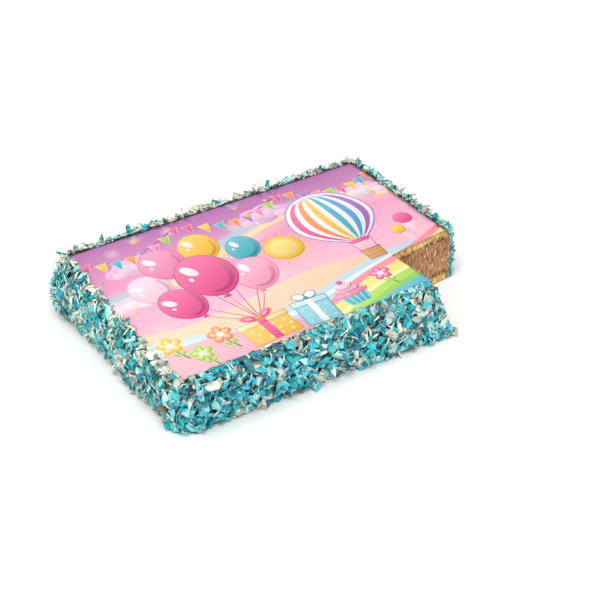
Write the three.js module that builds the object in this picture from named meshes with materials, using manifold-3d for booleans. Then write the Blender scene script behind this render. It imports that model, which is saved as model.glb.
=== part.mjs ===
// Sheet cake of two sponges and a filling, with a printed top sheet, a coat of
// chocolate flakes and one corner cut out.
// Millimetres. X runs along the long side, the front faces -Y and z = 0 is the underside.
// The origin lies on the underside, below the middle of the printed sheet.
import * as THREE from 'three';
import { mergeVertices } from 'three/addons/utils/BufferGeometryUtils.js';
import Module from 'manifold-3d';

// Printed sheet
const printLength = 280;
const printWidth = 187;

// Heights of the layers above the underside
const bottomSpongeTop = 10.5;
const fillingTop = 42.5;
const topSpongeTop = 51;
const printTop = 52;

// Outline of the coat's cream: its four corners from front left round to back left
const coatCorners = [[-145.5, -96.5], [149, -100.5], [149.5, 101], [-150, 101]];
const cornerRadius = 16;
const coatThickness = 4.2;
const gap = 0.3;

// Rounded edge of the top sponge
const shoulderRadius = 6;
const shoulderSteps = 4;
const bodyArcs = 6;
const plainSides = [1, 1, 1, 1];

// Section of the coat's cream, from the floor to beside the print: [inset, height]
const coatSection = [
  [1.4, 0], [0.2, 6], [0, 14], [0, 22], [0.2, 30], [0.6, 38],
  [1.4, 44.8], [3.4, 50], [6.6, 52.8], [10.4, 53.4], [13, 52.4],
];
const coatInnerInset = 15;
const coatInnerHeight = 46;
const reliefCell = 9;
const reliefDepth = 1.5;
const waveDepth = 0.6;
const waveLength = 24;
const arcCells = 3;

// Corner cut: where its two walls meet, their turn, and how far the coat leans out at its foot
const cutCorner = [80.9, -46.6];
const cutTurn = THREE.MathUtils.degToRad(5.7);
const cutReach = 140;
const clearRoom = 20;
const coatLean = 19;

// Flakes that show from a step away
const flakeSpacing = 15.4;
const flakeRows = 5;
const flakeHalfLength = [4.4, 6.8];
const flakeHalfWidth = [2.8, 4.2];
const flakeThickness = [1.3, 1.8];
const flakeCorners = [4, 5];
const flakeCornerReach = [0.8, 1.1];
const flakeJitter = 0.27;
const flakeTilt = THREE.MathUtils.degToRad(34);
const flakeLift = 0.8;
const flakeRagged = 1.2;
const leanFlakes = 10;
const leanRagged = 4.5;
const leanTop = 44;
const smallestDetail = 0.05;

const seed = 20417;
const wasm = await Module();
wasm.setup();

// Seeded random numbers from 0 to 1
function randomSource(start) {
  let state = start;
  return () => {
    state = (state + 0x6d2b79f5) | 0;
    let mixed = Math.imul(state ^ (state >>> 15), 1 | state);
    mixed = (mixed + Math.imul(mixed ^ (mixed >>> 7), 61 | mixed)) ^ mixed;
    return ((mixed ^ (mixed >>> 14)) >>> 0) / 4294967296;
  };
}
const random = randomSource(seed);
const between = (low, high) => low + (high - low) * random();

// Outward normals of the outline's sides, the side after each corner first
const sideNormals = coatCorners.map((corner, index) => {
  const next = coatCorners[(index + 1) % coatCorners.length];
  return new THREE.Vector2(next[1] - corner[1], corner[0] - next[0]).normalize();
});

// The centre and the two end angles of each rounded corner
const roundings = coatCorners.map((corner, index) => {
  const before = sideNormals[(index + coatCorners.length - 1) % coatCorners.length];
  const after = sideNormals[index];
  const reach = cornerRadius / (1 + before.dot(after));
  const start = Math.atan2(before.y, before.x);
  let end = Math.atan2(after.y, after.x);
  if (end < start) end += 2 * Math.PI;
  const x = corner[0] - (before.x + after.x) * reach;
  const y = corner[1] - (before.y + after.y) * reach;
  return { x, y, start, end };
});

// Points and normals round the outline, set in from it; the same place at any inset
function outlineRing(inset, arcSteps, sideSteps) {
  const radius = cornerRadius - inset;
  const ring = [];
  roundings.forEach((rounding, index) => {
    for (let step = 0; step <= arcSteps; step += 1) {
      const angle = THREE.MathUtils.lerp(rounding.start, rounding.end, step / arcSteps);
      const normal = new THREE.Vector2(Math.cos(angle), Math.sin(angle));
      ring.push({ x: rounding.x + radius * normal.x, y: rounding.y + radius * normal.y, normal });
    }
    const next = roundings[(index + 1) % roundings.length];
    const normal = sideNormals[index];
    const steps = sideSteps[index];
    for (let step = 1; step < steps; step += 1) {
      const x = THREE.MathUtils.lerp(rounding.x, next.x, step / steps) + radius * normal.x;
      const y = THREE.MathUtils.lerp(rounding.y, next.y, step / steps) + radius * normal.y;
      ring.push({ x, y, normal });
    }
  });
  return ring;
}

// A closed solid through rings of equal length, from the lowest to the highest
function loft(rings) {
  const count = rings[0].length;
  const positions = rings.flat(2);
  const middle = (ring) => [0, 1, 2].map((axis) => ring.reduce((sum, point) => sum + point[axis], 0) / count);
  const low = rings.length * count;
  const high = low + 1;
  positions.push(...middle(rings[0]), ...middle(rings[rings.length - 1]));
  const indices = [];
  for (let column = 0; column < count; column += 1) {
    const next = (column + 1) % count;
    indices.push(low, next, column);
    for (let row = 0; row + 1 < rings.length; row += 1) {
      const here = row * count;
      const above = here + count;
      indices.push(here + column, here + next, above + next);
      indices.push(here + column, above + next, above + column);
    }
    const top = (rings.length - 1) * count;
    indices.push(high, top + column, top + next);
  }
  const geometry = new THREE.BufferGeometry();
  geometry.setAttribute('position', new THREE.Float32BufferAttribute(positions, 3));
  geometry.setIndex(indices);
  return geometry;
}

// An upright block on an outline
function block(outline, bottom, top) {
  const shape = new THREE.Shape(outline.map((point) => new THREE.Vector2(point.x, point.y)));
  const geometry = new THREE.ExtrudeGeometry(shape, { depth: top - bottom, bevelEnabled: false });
  return geometry.translate(0, 0, bottom);
}

function toSolid(geometry) {
  geometry.deleteAttribute('normal');
  geometry.deleteAttribute('uv');
  const merged = mergeVertices(geometry, 1e-3);
  const vertProperties = new Float32Array(merged.attributes.position.array);
  const triVerts = new Uint32Array(merged.index.array);
  return new wasm.Manifold(new wasm.Mesh({ numProp: 3, vertProperties, triVerts }));
}

function toMesh(name, solid, color, roughness) {
  const { vertProperties, triVerts } = solid.getMesh();
  const geometry = new THREE.BufferGeometry();
  geometry.setAttribute('position', new THREE.BufferAttribute(vertProperties, 3));
  geometry.setIndex(new THREE.BufferAttribute(triVerts, 1));
  geometry.computeVertexNormals();
  const mesh = new THREE.Mesh(geometry, new THREE.MeshStandardMaterial({ color, roughness, metalness: 0 }));
  mesh.name = name;
  return mesh;
}

// The largest body of a solid, without loose scraps
function largestBody(solid) {
  return solid.decompose().reduce((best, body) => (body.volume() > best.volume() ? body : best));
}

// The two directions of the cut's walls, away from its corner
const cutRight = new THREE.Vector2(Math.cos(cutTurn), Math.sin(cutTurn));
const cutFront = new THREE.Vector2(Math.sin(cutTurn), -Math.cos(cutTurn));

// How far the coat's end leans out at a height, where it leans by footLean at the floor
function leanOut(footLean, height) {
  return footLean * Math.max(0, 1 - height / printTop);
}

// The block that the cut takes away; its first wall leans out by footLean at the floor
function cutBlock(footLean) {
  const corners = [[0, 0], [0, cutReach], [cutReach, cutReach], [cutReach, 0]];
  const ring = (height) => corners.map(([right, front]) => [
    cutCorner[0] + cutRight.x * right + cutFront.x * front + (right > 0 ? 0 : leanOut(footLean, height)),
    cutCorner[1] + cutRight.y * right + cutFront.y * front,
    height,
  ]);
  return toSolid(loft([ring(-gap), ring(printTop), ring(printTop + clearRoom)]));
}

// How deep a point lies inside the cut, past the nearer of its two walls
function depthInCut(x, y, height) {
  const offset = new THREE.Vector2(x - cutCorner[0], y - cutCorner[1]);
  return Math.min(offset.dot(cutRight) - leanOut(coatLean, height), offset.dot(cutFront));
}

// The outline of the sponges and the filling under the coat, moved outwards by grow
function bodyOutline(grow) {
  return outlineRing(coatThickness - grow, bodyArcs, plainSides);
}

function bodyRing(inset, height) {
  return bodyOutline(-inset).map((point) => [point.x, point.y, height]);
}

// The top sponge's rings, with its rounded edge; grow moves it outwards
function topSpongeRings(bottom, grow) {
  const rings = [bodyRing(-grow, bottom)];
  for (let step = 0; step <= shoulderSteps; step += 1) {
    const angle = (Math.PI / 2) * (step / shoulderSteps);
    const inset = shoulderRadius * (1 - Math.cos(angle));
    const height = topSpongeTop - shoulderRadius + shoulderRadius * Math.sin(angle);
    rings.push(bodyRing(inset - grow, height + grow));
  }
  return rings;
}

function printOutline(grow) {
  const x = printLength / 2 + grow;
  const y = printWidth / 2 + grow;
  return [{ x: -x, y: -y }, { x, y: -y }, { x, y }, { x: -x, y }];
}

// Steps along each side of the coat, about a relief cell long
const reliefSteps = roundings.map((rounding, index) => {
  const next = roundings[(index + 1) % roundings.length];
  return Math.round(Math.hypot(next.x - rounding.x, next.y - rounding.y) / reliefCell);
});

// The coat's cream: an uneven skin of bumps as large as its flakes
function coatCream() {
  const rings = coatSection.map(([inset, height], row) => {
    const edge = row === 0 || row === coatSection.length - 1;
    const depth = edge ? 0 : reliefDepth * (1 - inset / coatInnerInset);
    return outlineRing(inset, arcCells, reliefSteps).map(({ x, y, normal }) => {
      const wave = waveDepth * Math.sin((x + y) / waveLength) * Math.sin((x - 2 * y) / waveLength);
      const bump = between(-depth, depth);
      const push = wave + bump;
      const lift = bump * Math.min(1, inset / shoulderRadius);
      return [x + normal.x * push, y + normal.y * push, height + lift];
    });
  });
  rings.push(outlineRing(coatInnerInset, arcCells, reliefSteps).map(({ x, y }) => [x, y, coatInnerHeight]));
  return toSolid(loft(rings));
}

// Place and lie of the coat's surface: along is a share of the outline, up a share of its section
const surfaceRing = outlineRing(0, arcCells, reliefSteps);
const surfaceCurve = new THREE.CatmullRomCurve3(
  surfaceRing.map((point) => new THREE.Vector3(point.x, point.y, 0)), true, 'centripetal');
const sectionCurve = new THREE.CatmullRomCurve3(
  coatSection.map(([inset, height]) => new THREE.Vector3(-inset, 0, height)), false, 'centripetal');

function surfaceAt(along, up) {
  const foot = surfaceCurve.getPointAt(along);
  const tangent = surfaceCurve.getTangentAt(along);
  const outward = new THREE.Vector3(tangent.y, -tangent.x, 0);
  const section = sectionCurve.getPointAt(up);
  const climb = sectionCurve.getTangentAt(up);
  const point = foot.addScaledVector(outward, section.x).setZ(section.z);
  const normal = outward.clone().multiplyScalar(climb.z).add(new THREE.Vector3(0, 0, -climb.x)).normalize();
  return { point, tangent, normal };
}

// Place and lie of the coat's leaning end beside the cut's first wall
function leanAt(up) {
  const height = up * leanTop;
  const front = (coatCorners[1][1] - cutCorner[1]) / cutFront.y - coatThickness / 2;
  const x = cutCorner[0] + cutFront.x * front + leanOut(coatLean, height);
  const point = new THREE.Vector3(x, cutCorner[1] + cutFront.y * front, height);
  const normal = new THREE.Vector3(printTop, 0, coatLean).normalize();
  return { point, tangent: new THREE.Vector3(0, 1, 0), normal };
}

// One flake: an uneven plate, lying on the surface with a tilt and a turn of its own
function flakeGeometry({ point, tangent, normal }) {
  const halfLength = between(...flakeHalfLength);
  const halfWidth = between(...flakeHalfWidth);
  const thickness = between(...flakeThickness);
  const corners = Math.round(between(...flakeCorners));
  const outline = [];
  for (let corner = 0; corner < corners; corner += 1) {
    const angle = (2 * Math.PI * (corner + between(-flakeJitter, flakeJitter))) / corners;
    const reach = between(...flakeCornerReach);
    const direction = new THREE.Vector2(halfLength * Math.cos(angle), halfWidth * Math.sin(angle));
    outline.push(direction.multiplyScalar(reach));
  }
  const shape = new THREE.Shape(outline);
  const geometry = new THREE.ExtrudeGeometry(shape, { depth: thickness, bevelEnabled: false });
  geometry.translate(0, 0, -thickness / 2);
  const turn = new THREE.Matrix4().makeRotationZ(between(0, 2 * Math.PI));
  const tilt = new THREE.Matrix4().makeRotationX(between(-flakeTilt, flakeTilt));
  const side = new THREE.Vector3().crossVectors(normal, tangent);
  const lie = new THREE.Matrix4().makeBasis(tangent, side, normal);
  geometry.applyMatrix4(lie.multiply(tilt).multiply(turn));
  geometry.translate(...point.clone().addScaledVector(normal, flakeLift).toArray());
  return geometry;
}

// A flake moved clear of the floor and the print, or nothing where it crosses the cut
function fittedFlake(geometry, ragged) {
  geometry.computeBoundingBox();
  const { min, max } = geometry.boundingBox;
  const rise = Math.max(0, gap - min.z);
  const rightward = Math.sign(min.x + max.x);
  const backward = Math.sign(min.y + max.y);
  const overX = printLength / 2 + gap - Math.min(min.x * rightward, max.x * rightward);
  const overY = printWidth / 2 + gap - Math.min(min.y * backward, max.y * backward);
  const overPrint = overX > 0 && overY > 0 && max.z > topSpongeTop - gap;
  const alongX = overPrint && overX < overY;
  geometry.translate(alongX ? overX * rightward : 0, overPrint && !alongX ? overY * backward : 0, rise);
  const positions = geometry.attributes.position;
  for (let index = 0; index < positions.count; index += 1) {
    if (depthInCut(positions.getX(index), positions.getY(index), positions.getZ(index)) > ragged) return null;
  }
  return toSolid(geometry);
}

function coatFlakes() {
  const flakes = [];
  const columns = Math.round(surfaceCurve.getLength() / flakeSpacing);
  for (let row = 0; row < flakeRows; row += 1) {
    for (let column = 0; column < columns; column += 1) {
      const along = (column + (row % 2) / 2 + between(0, 2 * flakeJitter)) / columns;
      const up = (row + 0.5 + between(-flakeJitter, flakeJitter)) / flakeRows;
      flakes.push(fittedFlake(flakeGeometry(surfaceAt(along % 1, up)), flakeRagged));
    }
  }
  for (let index = 0; index < leanFlakes; index += 1) {
    flakes.push(fittedFlake(flakeGeometry(leanAt((index + 0.5) / leanFlakes)), leanRagged));
  }
  return flakes.filter((flake) => flake);
}

const layerCut = cutBlock(0);
const bottomSponge = toSolid(block(bodyOutline(0), 0, bottomSpongeTop)).subtract(layerCut);
const filling = toSolid(block(bodyOutline(0), bottomSpongeTop, fillingTop)).subtract(layerCut);
const topSponge = toSolid(loft(topSpongeRings(fillingTop, 0))).subtract(layerCut);
const print = toSolid(block(printOutline(0), topSpongeTop, printTop)).subtract(layerCut);

// Room that the coat leaves for the layers and the print
const layerRoom = toSolid(loft([bodyRing(-gap, -gap), ...topSpongeRings(fillingTop, gap)]));
const printRoom = toSolid(block(printOutline(gap), topSpongeTop - gap, printTop + clearRoom));
let coat = coatCream().subtract(cutBlock(coatLean));
for (const flake of coatFlakes()) coat = coat.add(flake);
coat = largestBody(coat.subtract(layerRoom).subtract(printRoom)).simplify(smallestDetail);

const group = new THREE.Group();
group.add(
  toMesh('bottom_sponge', bottomSponge, '#dcae68', 0.9),
  toMesh('filling', filling, '#b88a6a', 0.6),
  toMesh('top_sponge', topSponge, '#dfb36c', 0.9),
  toMesh('print_sheet', print, '#f0a8cc', 0.45),
  toMesh('flake_coat', coat, '#2a9fba', 0.4),
);

export default group;
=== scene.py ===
"""Looks of the birthday cake: a sheet cake with one corner cut out, coated with blue and
white chocolate flakes under a printed sugar sheet.

Sizes are millimetres, and put() turns them into the frame's metres. X runs along the
long side, the front faces -Y, and z = 0 is the underside.
"""

import math

import bpy
import numpy as np
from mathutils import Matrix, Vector, noise
from mathutils.geometry import delaunay_2d_cdt


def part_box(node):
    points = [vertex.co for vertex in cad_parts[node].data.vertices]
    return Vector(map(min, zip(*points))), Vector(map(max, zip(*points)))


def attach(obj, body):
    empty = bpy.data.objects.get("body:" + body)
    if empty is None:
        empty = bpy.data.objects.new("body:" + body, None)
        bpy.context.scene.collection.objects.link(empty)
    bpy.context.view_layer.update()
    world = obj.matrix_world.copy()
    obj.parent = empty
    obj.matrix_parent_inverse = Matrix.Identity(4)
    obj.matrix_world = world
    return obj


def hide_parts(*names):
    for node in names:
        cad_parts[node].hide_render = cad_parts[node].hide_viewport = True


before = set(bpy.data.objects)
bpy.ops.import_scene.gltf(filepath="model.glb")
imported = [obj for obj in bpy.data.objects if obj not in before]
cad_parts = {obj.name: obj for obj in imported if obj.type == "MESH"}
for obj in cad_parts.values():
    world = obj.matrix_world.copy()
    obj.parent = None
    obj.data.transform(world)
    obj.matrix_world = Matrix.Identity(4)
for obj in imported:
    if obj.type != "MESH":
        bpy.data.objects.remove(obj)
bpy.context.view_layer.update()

MM = 0.001
SEED = 20417


def top_of(node):
    """A node's highest point, in millimetres."""
    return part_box(node)[1][2] / MM


# Printed sheet and the heights of the layers, as the frame has them
SHEET_HALF = np.array(((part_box("print_sheet")[1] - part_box("print_sheet")[0]) / MM)[:2]) / 2
BOTTOM_SPONGE_TOP = top_of("bottom_sponge")
FILLING_TOP = top_of("filling")
TOP_SPONGE_TOP = top_of("top_sponge")
PRINT_TOP = top_of("print_sheet")

# Outline of the coat's cream, from front left round to back left, as in the CAD source
COAT_CORNERS = np.array([[-145.5, -96.5], [149.0, -100.5], [149.5, 101.0], [-150.0, 101.0]])
CORNER_RADIUS = 16.0
COAT_THICKNESS = 4.2
SHOULDER_RADIUS = 6.0

# Room between pieces that meet, spacing of the layers' outline, a height above everything, and the signs
# of a rectangle's corners
GAP = 0.3
OUTLINE_SPACING = 8.0
CLEAR_TOP = PRINT_TOP + 20
CORNER_SIGNS = np.array([(-1, -1), (1, -1), (1, 1), (-1, 1)])

# Section of the coat's cream, from the floor to beside the print: inset and height, then the row of its
# highest point and the ring that closes it inside
COAT_SECTION = np.array([
    [1.4, 0.0], [0.2, 6.0], [0.0, 14.0], [0.0, 22.0], [0.2, 30.0], [0.6, 38.0],
    [1.4, 44.8], [3.4, 50.0], [6.6, 52.8], [10.4, 53.4], [13.0, 52.4],
])
RIM_ROW = 9
COAT_INNER = (15.0, 46.0)

# Corner cut: where its two walls meet and their turn. The coat's end stands out at its foot and is drawn
# back at its top
CUT_CORNER = np.array([80.9, -46.6])
CUT_TURN = math.radians(5.7)
CUT_RIGHT = np.array([math.cos(CUT_TURN), math.sin(CUT_TURN)])
CUT_FRONT = np.array([math.sin(CUT_TURN), -math.cos(CUT_TURN)])
CUT_REACH = 140.0
COAT_LEAN = 15.5
COAT_DRAWN_BACK = 5.0

# Camera, worked out from the corners of the printed sheet
CAMERA_PLACE = (-447.6, -717.7, 620.3)
CAMERA_PITCH = math.radians(35.77)
CAMERA_YAW = math.radians(33.26)
CAMERA_LENS = 76.25
CAMERA_SENSOR = 36.0


# Meshes and materials


def put(name, points, faces, material, smooth=False):
    """A mesh object from points in millimetres."""
    mesh = bpy.data.meshes.new(name)
    mesh.from_pydata((np.asarray(points) * MM).tolist(), [], faces)
    mesh.update()
    mesh.polygons.foreach_set("use_smooth", np.full(len(mesh.polygons), smooth))
    if material:
        mesh.materials.append(material)
    piece = bpy.data.objects.new(name, mesh)
    bpy.context.scene.collection.objects.link(piece)
    return piece


def linear(colour):
    """Linear red, green and blue of a colour such as "#2a9fba"."""
    values = [int(colour[start:start + 2], 16) / 255 for start in (1, 3, 5)]
    return tuple(v / 12.92 if v <= 0.04045 else ((v + 0.055) / 1.055) ** 2.4 for v in values)


class Shader:
    """Short ways to add the nodes of one material."""

    def __init__(self, name, roughness):
        self.material = bpy.data.materials.new(name)
        self.material.use_nodes = True
        self.nodes = self.material.node_tree.nodes
        self.links = self.material.node_tree.links
        self.surface = self.nodes["Principled BSDF"]
        self.surface.inputs["Roughness"].default_value = roughness

    def add(self, kind, inputs, output=0, **settings):
        """A node with its inputs set or linked, by name or number; gives one output."""
        node = self.nodes.new(kind)
        for key, value in settings.items():
            setattr(node, key, value)
        for key, value in inputs.items():
            if isinstance(value, bpy.types.NodeSocket):
                self.links.new(value, node.inputs[key])
            elif value is not None:
                node.inputs[key].default_value = value
        return node.outputs[output]

    def place(self):
        return self.add("ShaderNodeTexCoord", {}, "Object")

    def axis(self, place, number):
        return self.add("ShaderNodeSeparateXYZ", {0: place}, number)

    def attribute(self, name):
        return self.add("ShaderNodeAttribute", {}, "Fac", attribute_name=name)

    def stretched(self, place, x, y, z):
        return self.add("ShaderNodeVectorMath", {0: place, 1: (x, y, z)}, operation="MULTIPLY")

    def noise(self, place, size, detail=3.0, roughness=0.55):
        """Soft noise from 0 to 1 whose patches are about size millimetres."""
        inputs = {"Vector": place, "Scale": 1 / (size * MM), "Detail": detail, "Roughness": roughness}
        return self.add("ShaderNodeTexNoise", inputs, "Fac")

    def spots(self, place, size, random=1.0):
        """Distance to the nearest of points that lie about size millimetres apart."""
        inputs = {"Vector": place, "Scale": 1 / (size * MM), "Randomness": random}
        return self.add("ShaderNodeTexVoronoi", inputs, "Distance")

    def math(self, operation, *values):
        return self.add("ShaderNodeMath", dict(enumerate(values)), operation=operation)

    def fit(self, value, low, high, out_low=0.0, out_high=1.0):
        inputs = {0: value, 1: low, 2: high, 3: out_low, 4: out_high}
        return self.add("ShaderNodeMapRange", inputs, interpolation_type="SMOOTHSTEP")

    def ramp(self, value, stops):
        """Colours by value; stops are pairs of a place and a colour."""
        node = self.nodes.new("ShaderNodeValToRGB")
        elements = node.color_ramp.elements
        while len(elements) < len(stops):
            elements.new(0.5)
        for element, (position, colour) in zip(elements, stops):
            element.position = position
            element.color = (*linear(colour), 1.0)
        self.links.new(value, node.inputs[0])
        return node.outputs[0]

    def mix(self, factor, first, second, blend="MIX"):
        node = self.nodes.new("ShaderNodeMix")
        node.data_type = "RGBA"
        node.blend_type = blend
        for socket, value in zip((node.inputs[0], node.inputs[6], node.inputs[7]), (factor, first, second)):
            if isinstance(value, bpy.types.NodeSocket):
                self.links.new(value, socket)
            elif isinstance(value, str):
                socket.default_value = (*linear(value), 1.0)
            else:
                socket.default_value = value
        return node.outputs[2]

    def colour(self, value):
        self.links.new(value, self.surface.inputs["Base Color"])

    def bump(self, height, distance, strength=1.0):
        """Relief for the light: height from 0 to 1 stands for distance millimetres."""
        inputs = {"Height": height, "Distance": distance * MM, "Strength": strength}
        self.links.new(self.add("ShaderNodeBump", inputs), self.surface.inputs["Normal"])


# Flakes: how far clouds and a lighter thin edge lighten them, the edge partly painted highlight and partly
# the chocolate's paler edge, how often the tint swaps between two kinds of colour, how the second kind comes
# in towards the front, and how painted shade darkens the deeper ones
FLAKE_ROUGHNESS = 0.34
CLOUD_SHARE = 0.3
# A flake's thin edge is lighter: partly painted highlight, partly the chocolate's own paler edge
PALE_EDGE_AND_HIGHLIGHT = 0.38
KINDS_PER_TINT = 37.0
SECOND_KIND = (-88.0 * MM, -100.0 * MM, 0.4, 1.0)
# Painted shade on the deeper flakes: where it begins and ends, and how dark it gets
DEPTH_SHADE = (1.08, 1.45, 0.0, 0.75)
BLUES = ((0.0, "#067376"), (0.3, "#11a5a8"), (0.55, "#37c1be"), (0.78, "#82d8d0"), (1.0, "#cdf2ea"))
OTHER_BLUES = ((0.0, "#046e8d"), (0.3, "#0ba4c5"), (0.55, "#31bfd8"), (0.78, "#7bd8e3"), (1.0, "#c8f1f3"))
WHITES = ((0.0, "#bfc0ab"), (0.35, "#dbdbc4"), (0.65, "#ebedd8"), (1.0, "#f8f8ec"))
# The whites' second kind, more of it towards the front, is bluer and darker: partly a colour of its own,
# partly painted reflection of the teal around it
OTHER_WHITES = ((0.0, "#9cb5b1"), (0.35, "#bdd6d3"), (0.65, "#d9e9e6"), (1.0, "#eef7f4"))
# Colours of the painted shade on the deeper blue and white flakes
BLUE_DEPTH_SHADE, WHITE_DEPTH_SHADE = "#1f4447", "#4d4437"


def flake_material(name, stops, other_stops, depth_shade_colour):
    """Chocolate flakes: "tint" gives each its own shade, "edge" lightens its thin edge, partly as a painted
    highlight and partly as the chocolate's paler edge, and "sunk" darkens the deeper ones with painted shade."""
    shader = Shader(name, FLAKE_ROUGHNESS)
    place = shader.place()
    tint, edge, sunk = (shader.attribute(own) for own in ("tint", "edge", "sunk"))
    cloud = shader.noise(place, 2.2)
    shade = shader.math("MULTIPLY_ADD", cloud, CLOUD_SHARE, shader.math("SUBTRACT", tint, CLOUD_SHARE / 2))
    # Lighter thin edge, partly painted highlight and partly the chocolate's paler edge
    pale_edge_and_highlight = shader.math("MULTIPLY", edge, shader.fit(shader.noise(place, 1.6), 0.4, 0.6))
    shade = shader.math("MULTIPLY_ADD", pale_edge_and_highlight, PALE_EDGE_AND_HIGHLIGHT, shade)
    kind = shader.math("FRACT", shader.math("MULTIPLY", tint, KINDS_PER_TINT))
    kind = shader.math("MULTIPLY", kind, shader.fit(shader.axis(place, 1), *SECOND_KIND))
    # For white flakes the second kind is partly painted reflection of the teal flakes
    colour = shader.mix(kind, shader.ramp(shade, stops), shader.ramp(shade, other_stops))
    # Painted shade: flakes lying deeper in the pile are darkened
    depth_shade = shader.fit(shader.math("ADD", shader.noise(place, 3.5), sunk), *DEPTH_SHADE)
    shader.colour(shader.mix(depth_shade, colour, depth_shade_colour))
    shader.bump(shader.noise(place, 1.1, 4.0), 0.16, 0.7)
    return shader.material


# Cream between the flakes, its brown darkened as painted shade in the gaps; and the cream where it is sliced
CREAM_SHADED = ((0.25, "#2a2420"), (0.55, "#453932"), (0.8, "#655248"))
CREAM_SLICED = ((0.3, "#9a6c4d"), (0.7, "#cfa583"))


def cream_material():
    """Brown cream between the flakes, darkened with painted shade for the gaps, and lighter where the knife
    went through it.
    """
    shader = Shader("coat_cream", 0.5)
    place = shader.place()
    # Painted shade: the cream in the gaps between flakes is darkened
    dark = shader.ramp(shader.noise(place, 5.0), CREAM_SHADED)
    sliced = shader.ramp(shader.noise(place, 1.8), CREAM_SLICED)
    shader.colour(shader.mix(shader.attribute("cut"), dark, sliced))
    shader.bump(shader.noise(place, 1.6), 0.5)
    return shader.material


# Sponge: its crumb, the brown of its pores and of its outer level, and its crust beside the filling and
# at the outer level, each with a depth and a share, where drips reach in
GOLDEN = ((0.3, "#8a5c2a"), (0.42, "#bd9352"), (0.55, "#dab97e"), (0.7, "#f8e9c4"))
PORE_BROWN, OUTER_BROWN = "#94602a", "#a8722f"
CRUST_BROWN = ((0.3, "#3f2410"), (0.7, "#7c4d20"))
INNER_CRUST = (2.4, 1.0)
OUTER_CRUST = (0.9, 0.45)
DRIP_REACH = 9.0
CRUST_EDGE = (3.5, 4.3)


def sponge_material(name, outer, inner):
    """Golden sponge with pores, faintly browned at its outer level and with brown drips by the filling."""
    shader = Shader(name, 0.88)
    place = shader.place()
    level = shader.attribute("level")
    crumb = shader.noise(shader.stretched(place, 1.0, 1.0, 0.6), 3.4, 4.0, 0.6)
    golden = shader.ramp(crumb, GOLDEN)
    pores = shader.fit(shader.spots(place, 2.6), 0.08, 0.36)
    golden = shader.mix(pores, shader.mix(0.45, golden, PORE_BROWN), golden)
    across = shader.fit(level, outer, inner)
    golden = shader.mix(shader.fit(across, 0.4, 1.0, 0.0, 0.6), golden, OUTER_BROWN)
    drips = shader.noise(shader.stretched(place, 1.0, 1.0, 0.35), 3.6, 3.0, 0.6)
    crusts = []
    for edge, (depth, share) in ((inner, INNER_CRUST), (outer, OUTER_CRUST)):
        into = shader.math("DIVIDE", shader.math("ABSOLUTE", shader.math("SUBTRACT", level, edge)), depth)
        reach = shader.math("SUBTRACT", shader.math("MULTIPLY", drips, DRIP_REACH), into)
        crusts.append(shader.fit(reach, *CRUST_EDGE, 0.0, share))
    crust = shader.math("MAXIMUM", *crusts)
    brown = shader.ramp(shader.noise(place, 1.2, 3.0), CRUST_BROWN)
    shader.colour(shader.mix(shader.math("MULTIPLY", crust, 0.9), golden, brown))
    shader.bump(shader.math("ADD", shader.math("MULTIPLY", pores, 0.6), crumb), 0.5)
    return shader.material


# Filling: its knife streaks, its smoother stretches, its dark blotches and its holes
FILLING_STREAKS = ((0.36, "#572f18"), (0.45, "#98633c"), (0.54, "#c89366"), (0.64, "#f0cda4"))
FILLING_SMOOTH = ((0.3, "#aa744b"), (0.7, "#c58f65"))
BLOTCH_BROWN, HOLE_BROWN = "#7a452a", "#4f2c1a"


def filling_material():
    """Light brown cream with short upright streaks from the knife and a few dark holes."""
    shader = Shader("filling_cream", 0.55)
    place = shader.place()
    streaks = shader.noise(shader.stretched(place, 1.0, 1.0, 0.22), 1.3, 4.0, 0.7)
    cream = shader.ramp(streaks, FILLING_STREAKS)
    smooth = shader.noise(shader.stretched(place, 1.0, 1.0, 0.6), 9.0, 2.0)
    even = shader.ramp(shader.noise(place, 3.0), FILLING_SMOOTH)
    cream = shader.mix(shader.fit(smooth, 0.42, 0.6, 0.0, 0.45), cream, even)
    blotch = shader.fit(shader.noise(place, 11.0, 4.0, 0.65), 0.48, 0.62)
    cream = shader.mix(blotch, cream, shader.mix(0.5, cream, BLOTCH_BROWN))
    holes = shader.fit(shader.spots(shader.stretched(place, 1.0, 1.0, 0.5), 2.4), 0.3, 0.12)
    holes = shader.math("MULTIPLY", holes, shader.fit(shader.noise(place, 13.0), 0.52, 0.62))
    shader.colour(shader.mix(holes, cream, HOLE_BROWN))
    shader.bump(shader.math("ADD", streaks, shader.noise(place, 0.9, 2.0)), 0.5)
    return shader.material


# The sheet's ground from front to back, how far clouds shift it, and its soft streaks: colour, distance
# from the wave's line and half width. The line's middle, height, length, slope and shift by the clouds
GROUND = (
    (0.0, "#f6c9b6"), (0.22, "#f6c1c6"), (0.45, "#f3b2cb"),
    (0.66, "#e99cc0"), (0.84, "#ce8db8"), (1.0, "#b776ae"),
)
GROUND_CLOUD = 0.2
GROUND_STREAKS = (("#a9d3da", 9.0, 10.0), ("#f7e5a4", 0.0, 8.0), ("#f5b0c0", -9.0, 8.0))
STREAK_STRENGTH = 0.85
GROUND_LINE = (27.0, 15.0, 52.0, 0.06, 12.0)
INK_GRAIN = ((0.3, "#ded2da"), (0.7, "#ffffff"))


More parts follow.
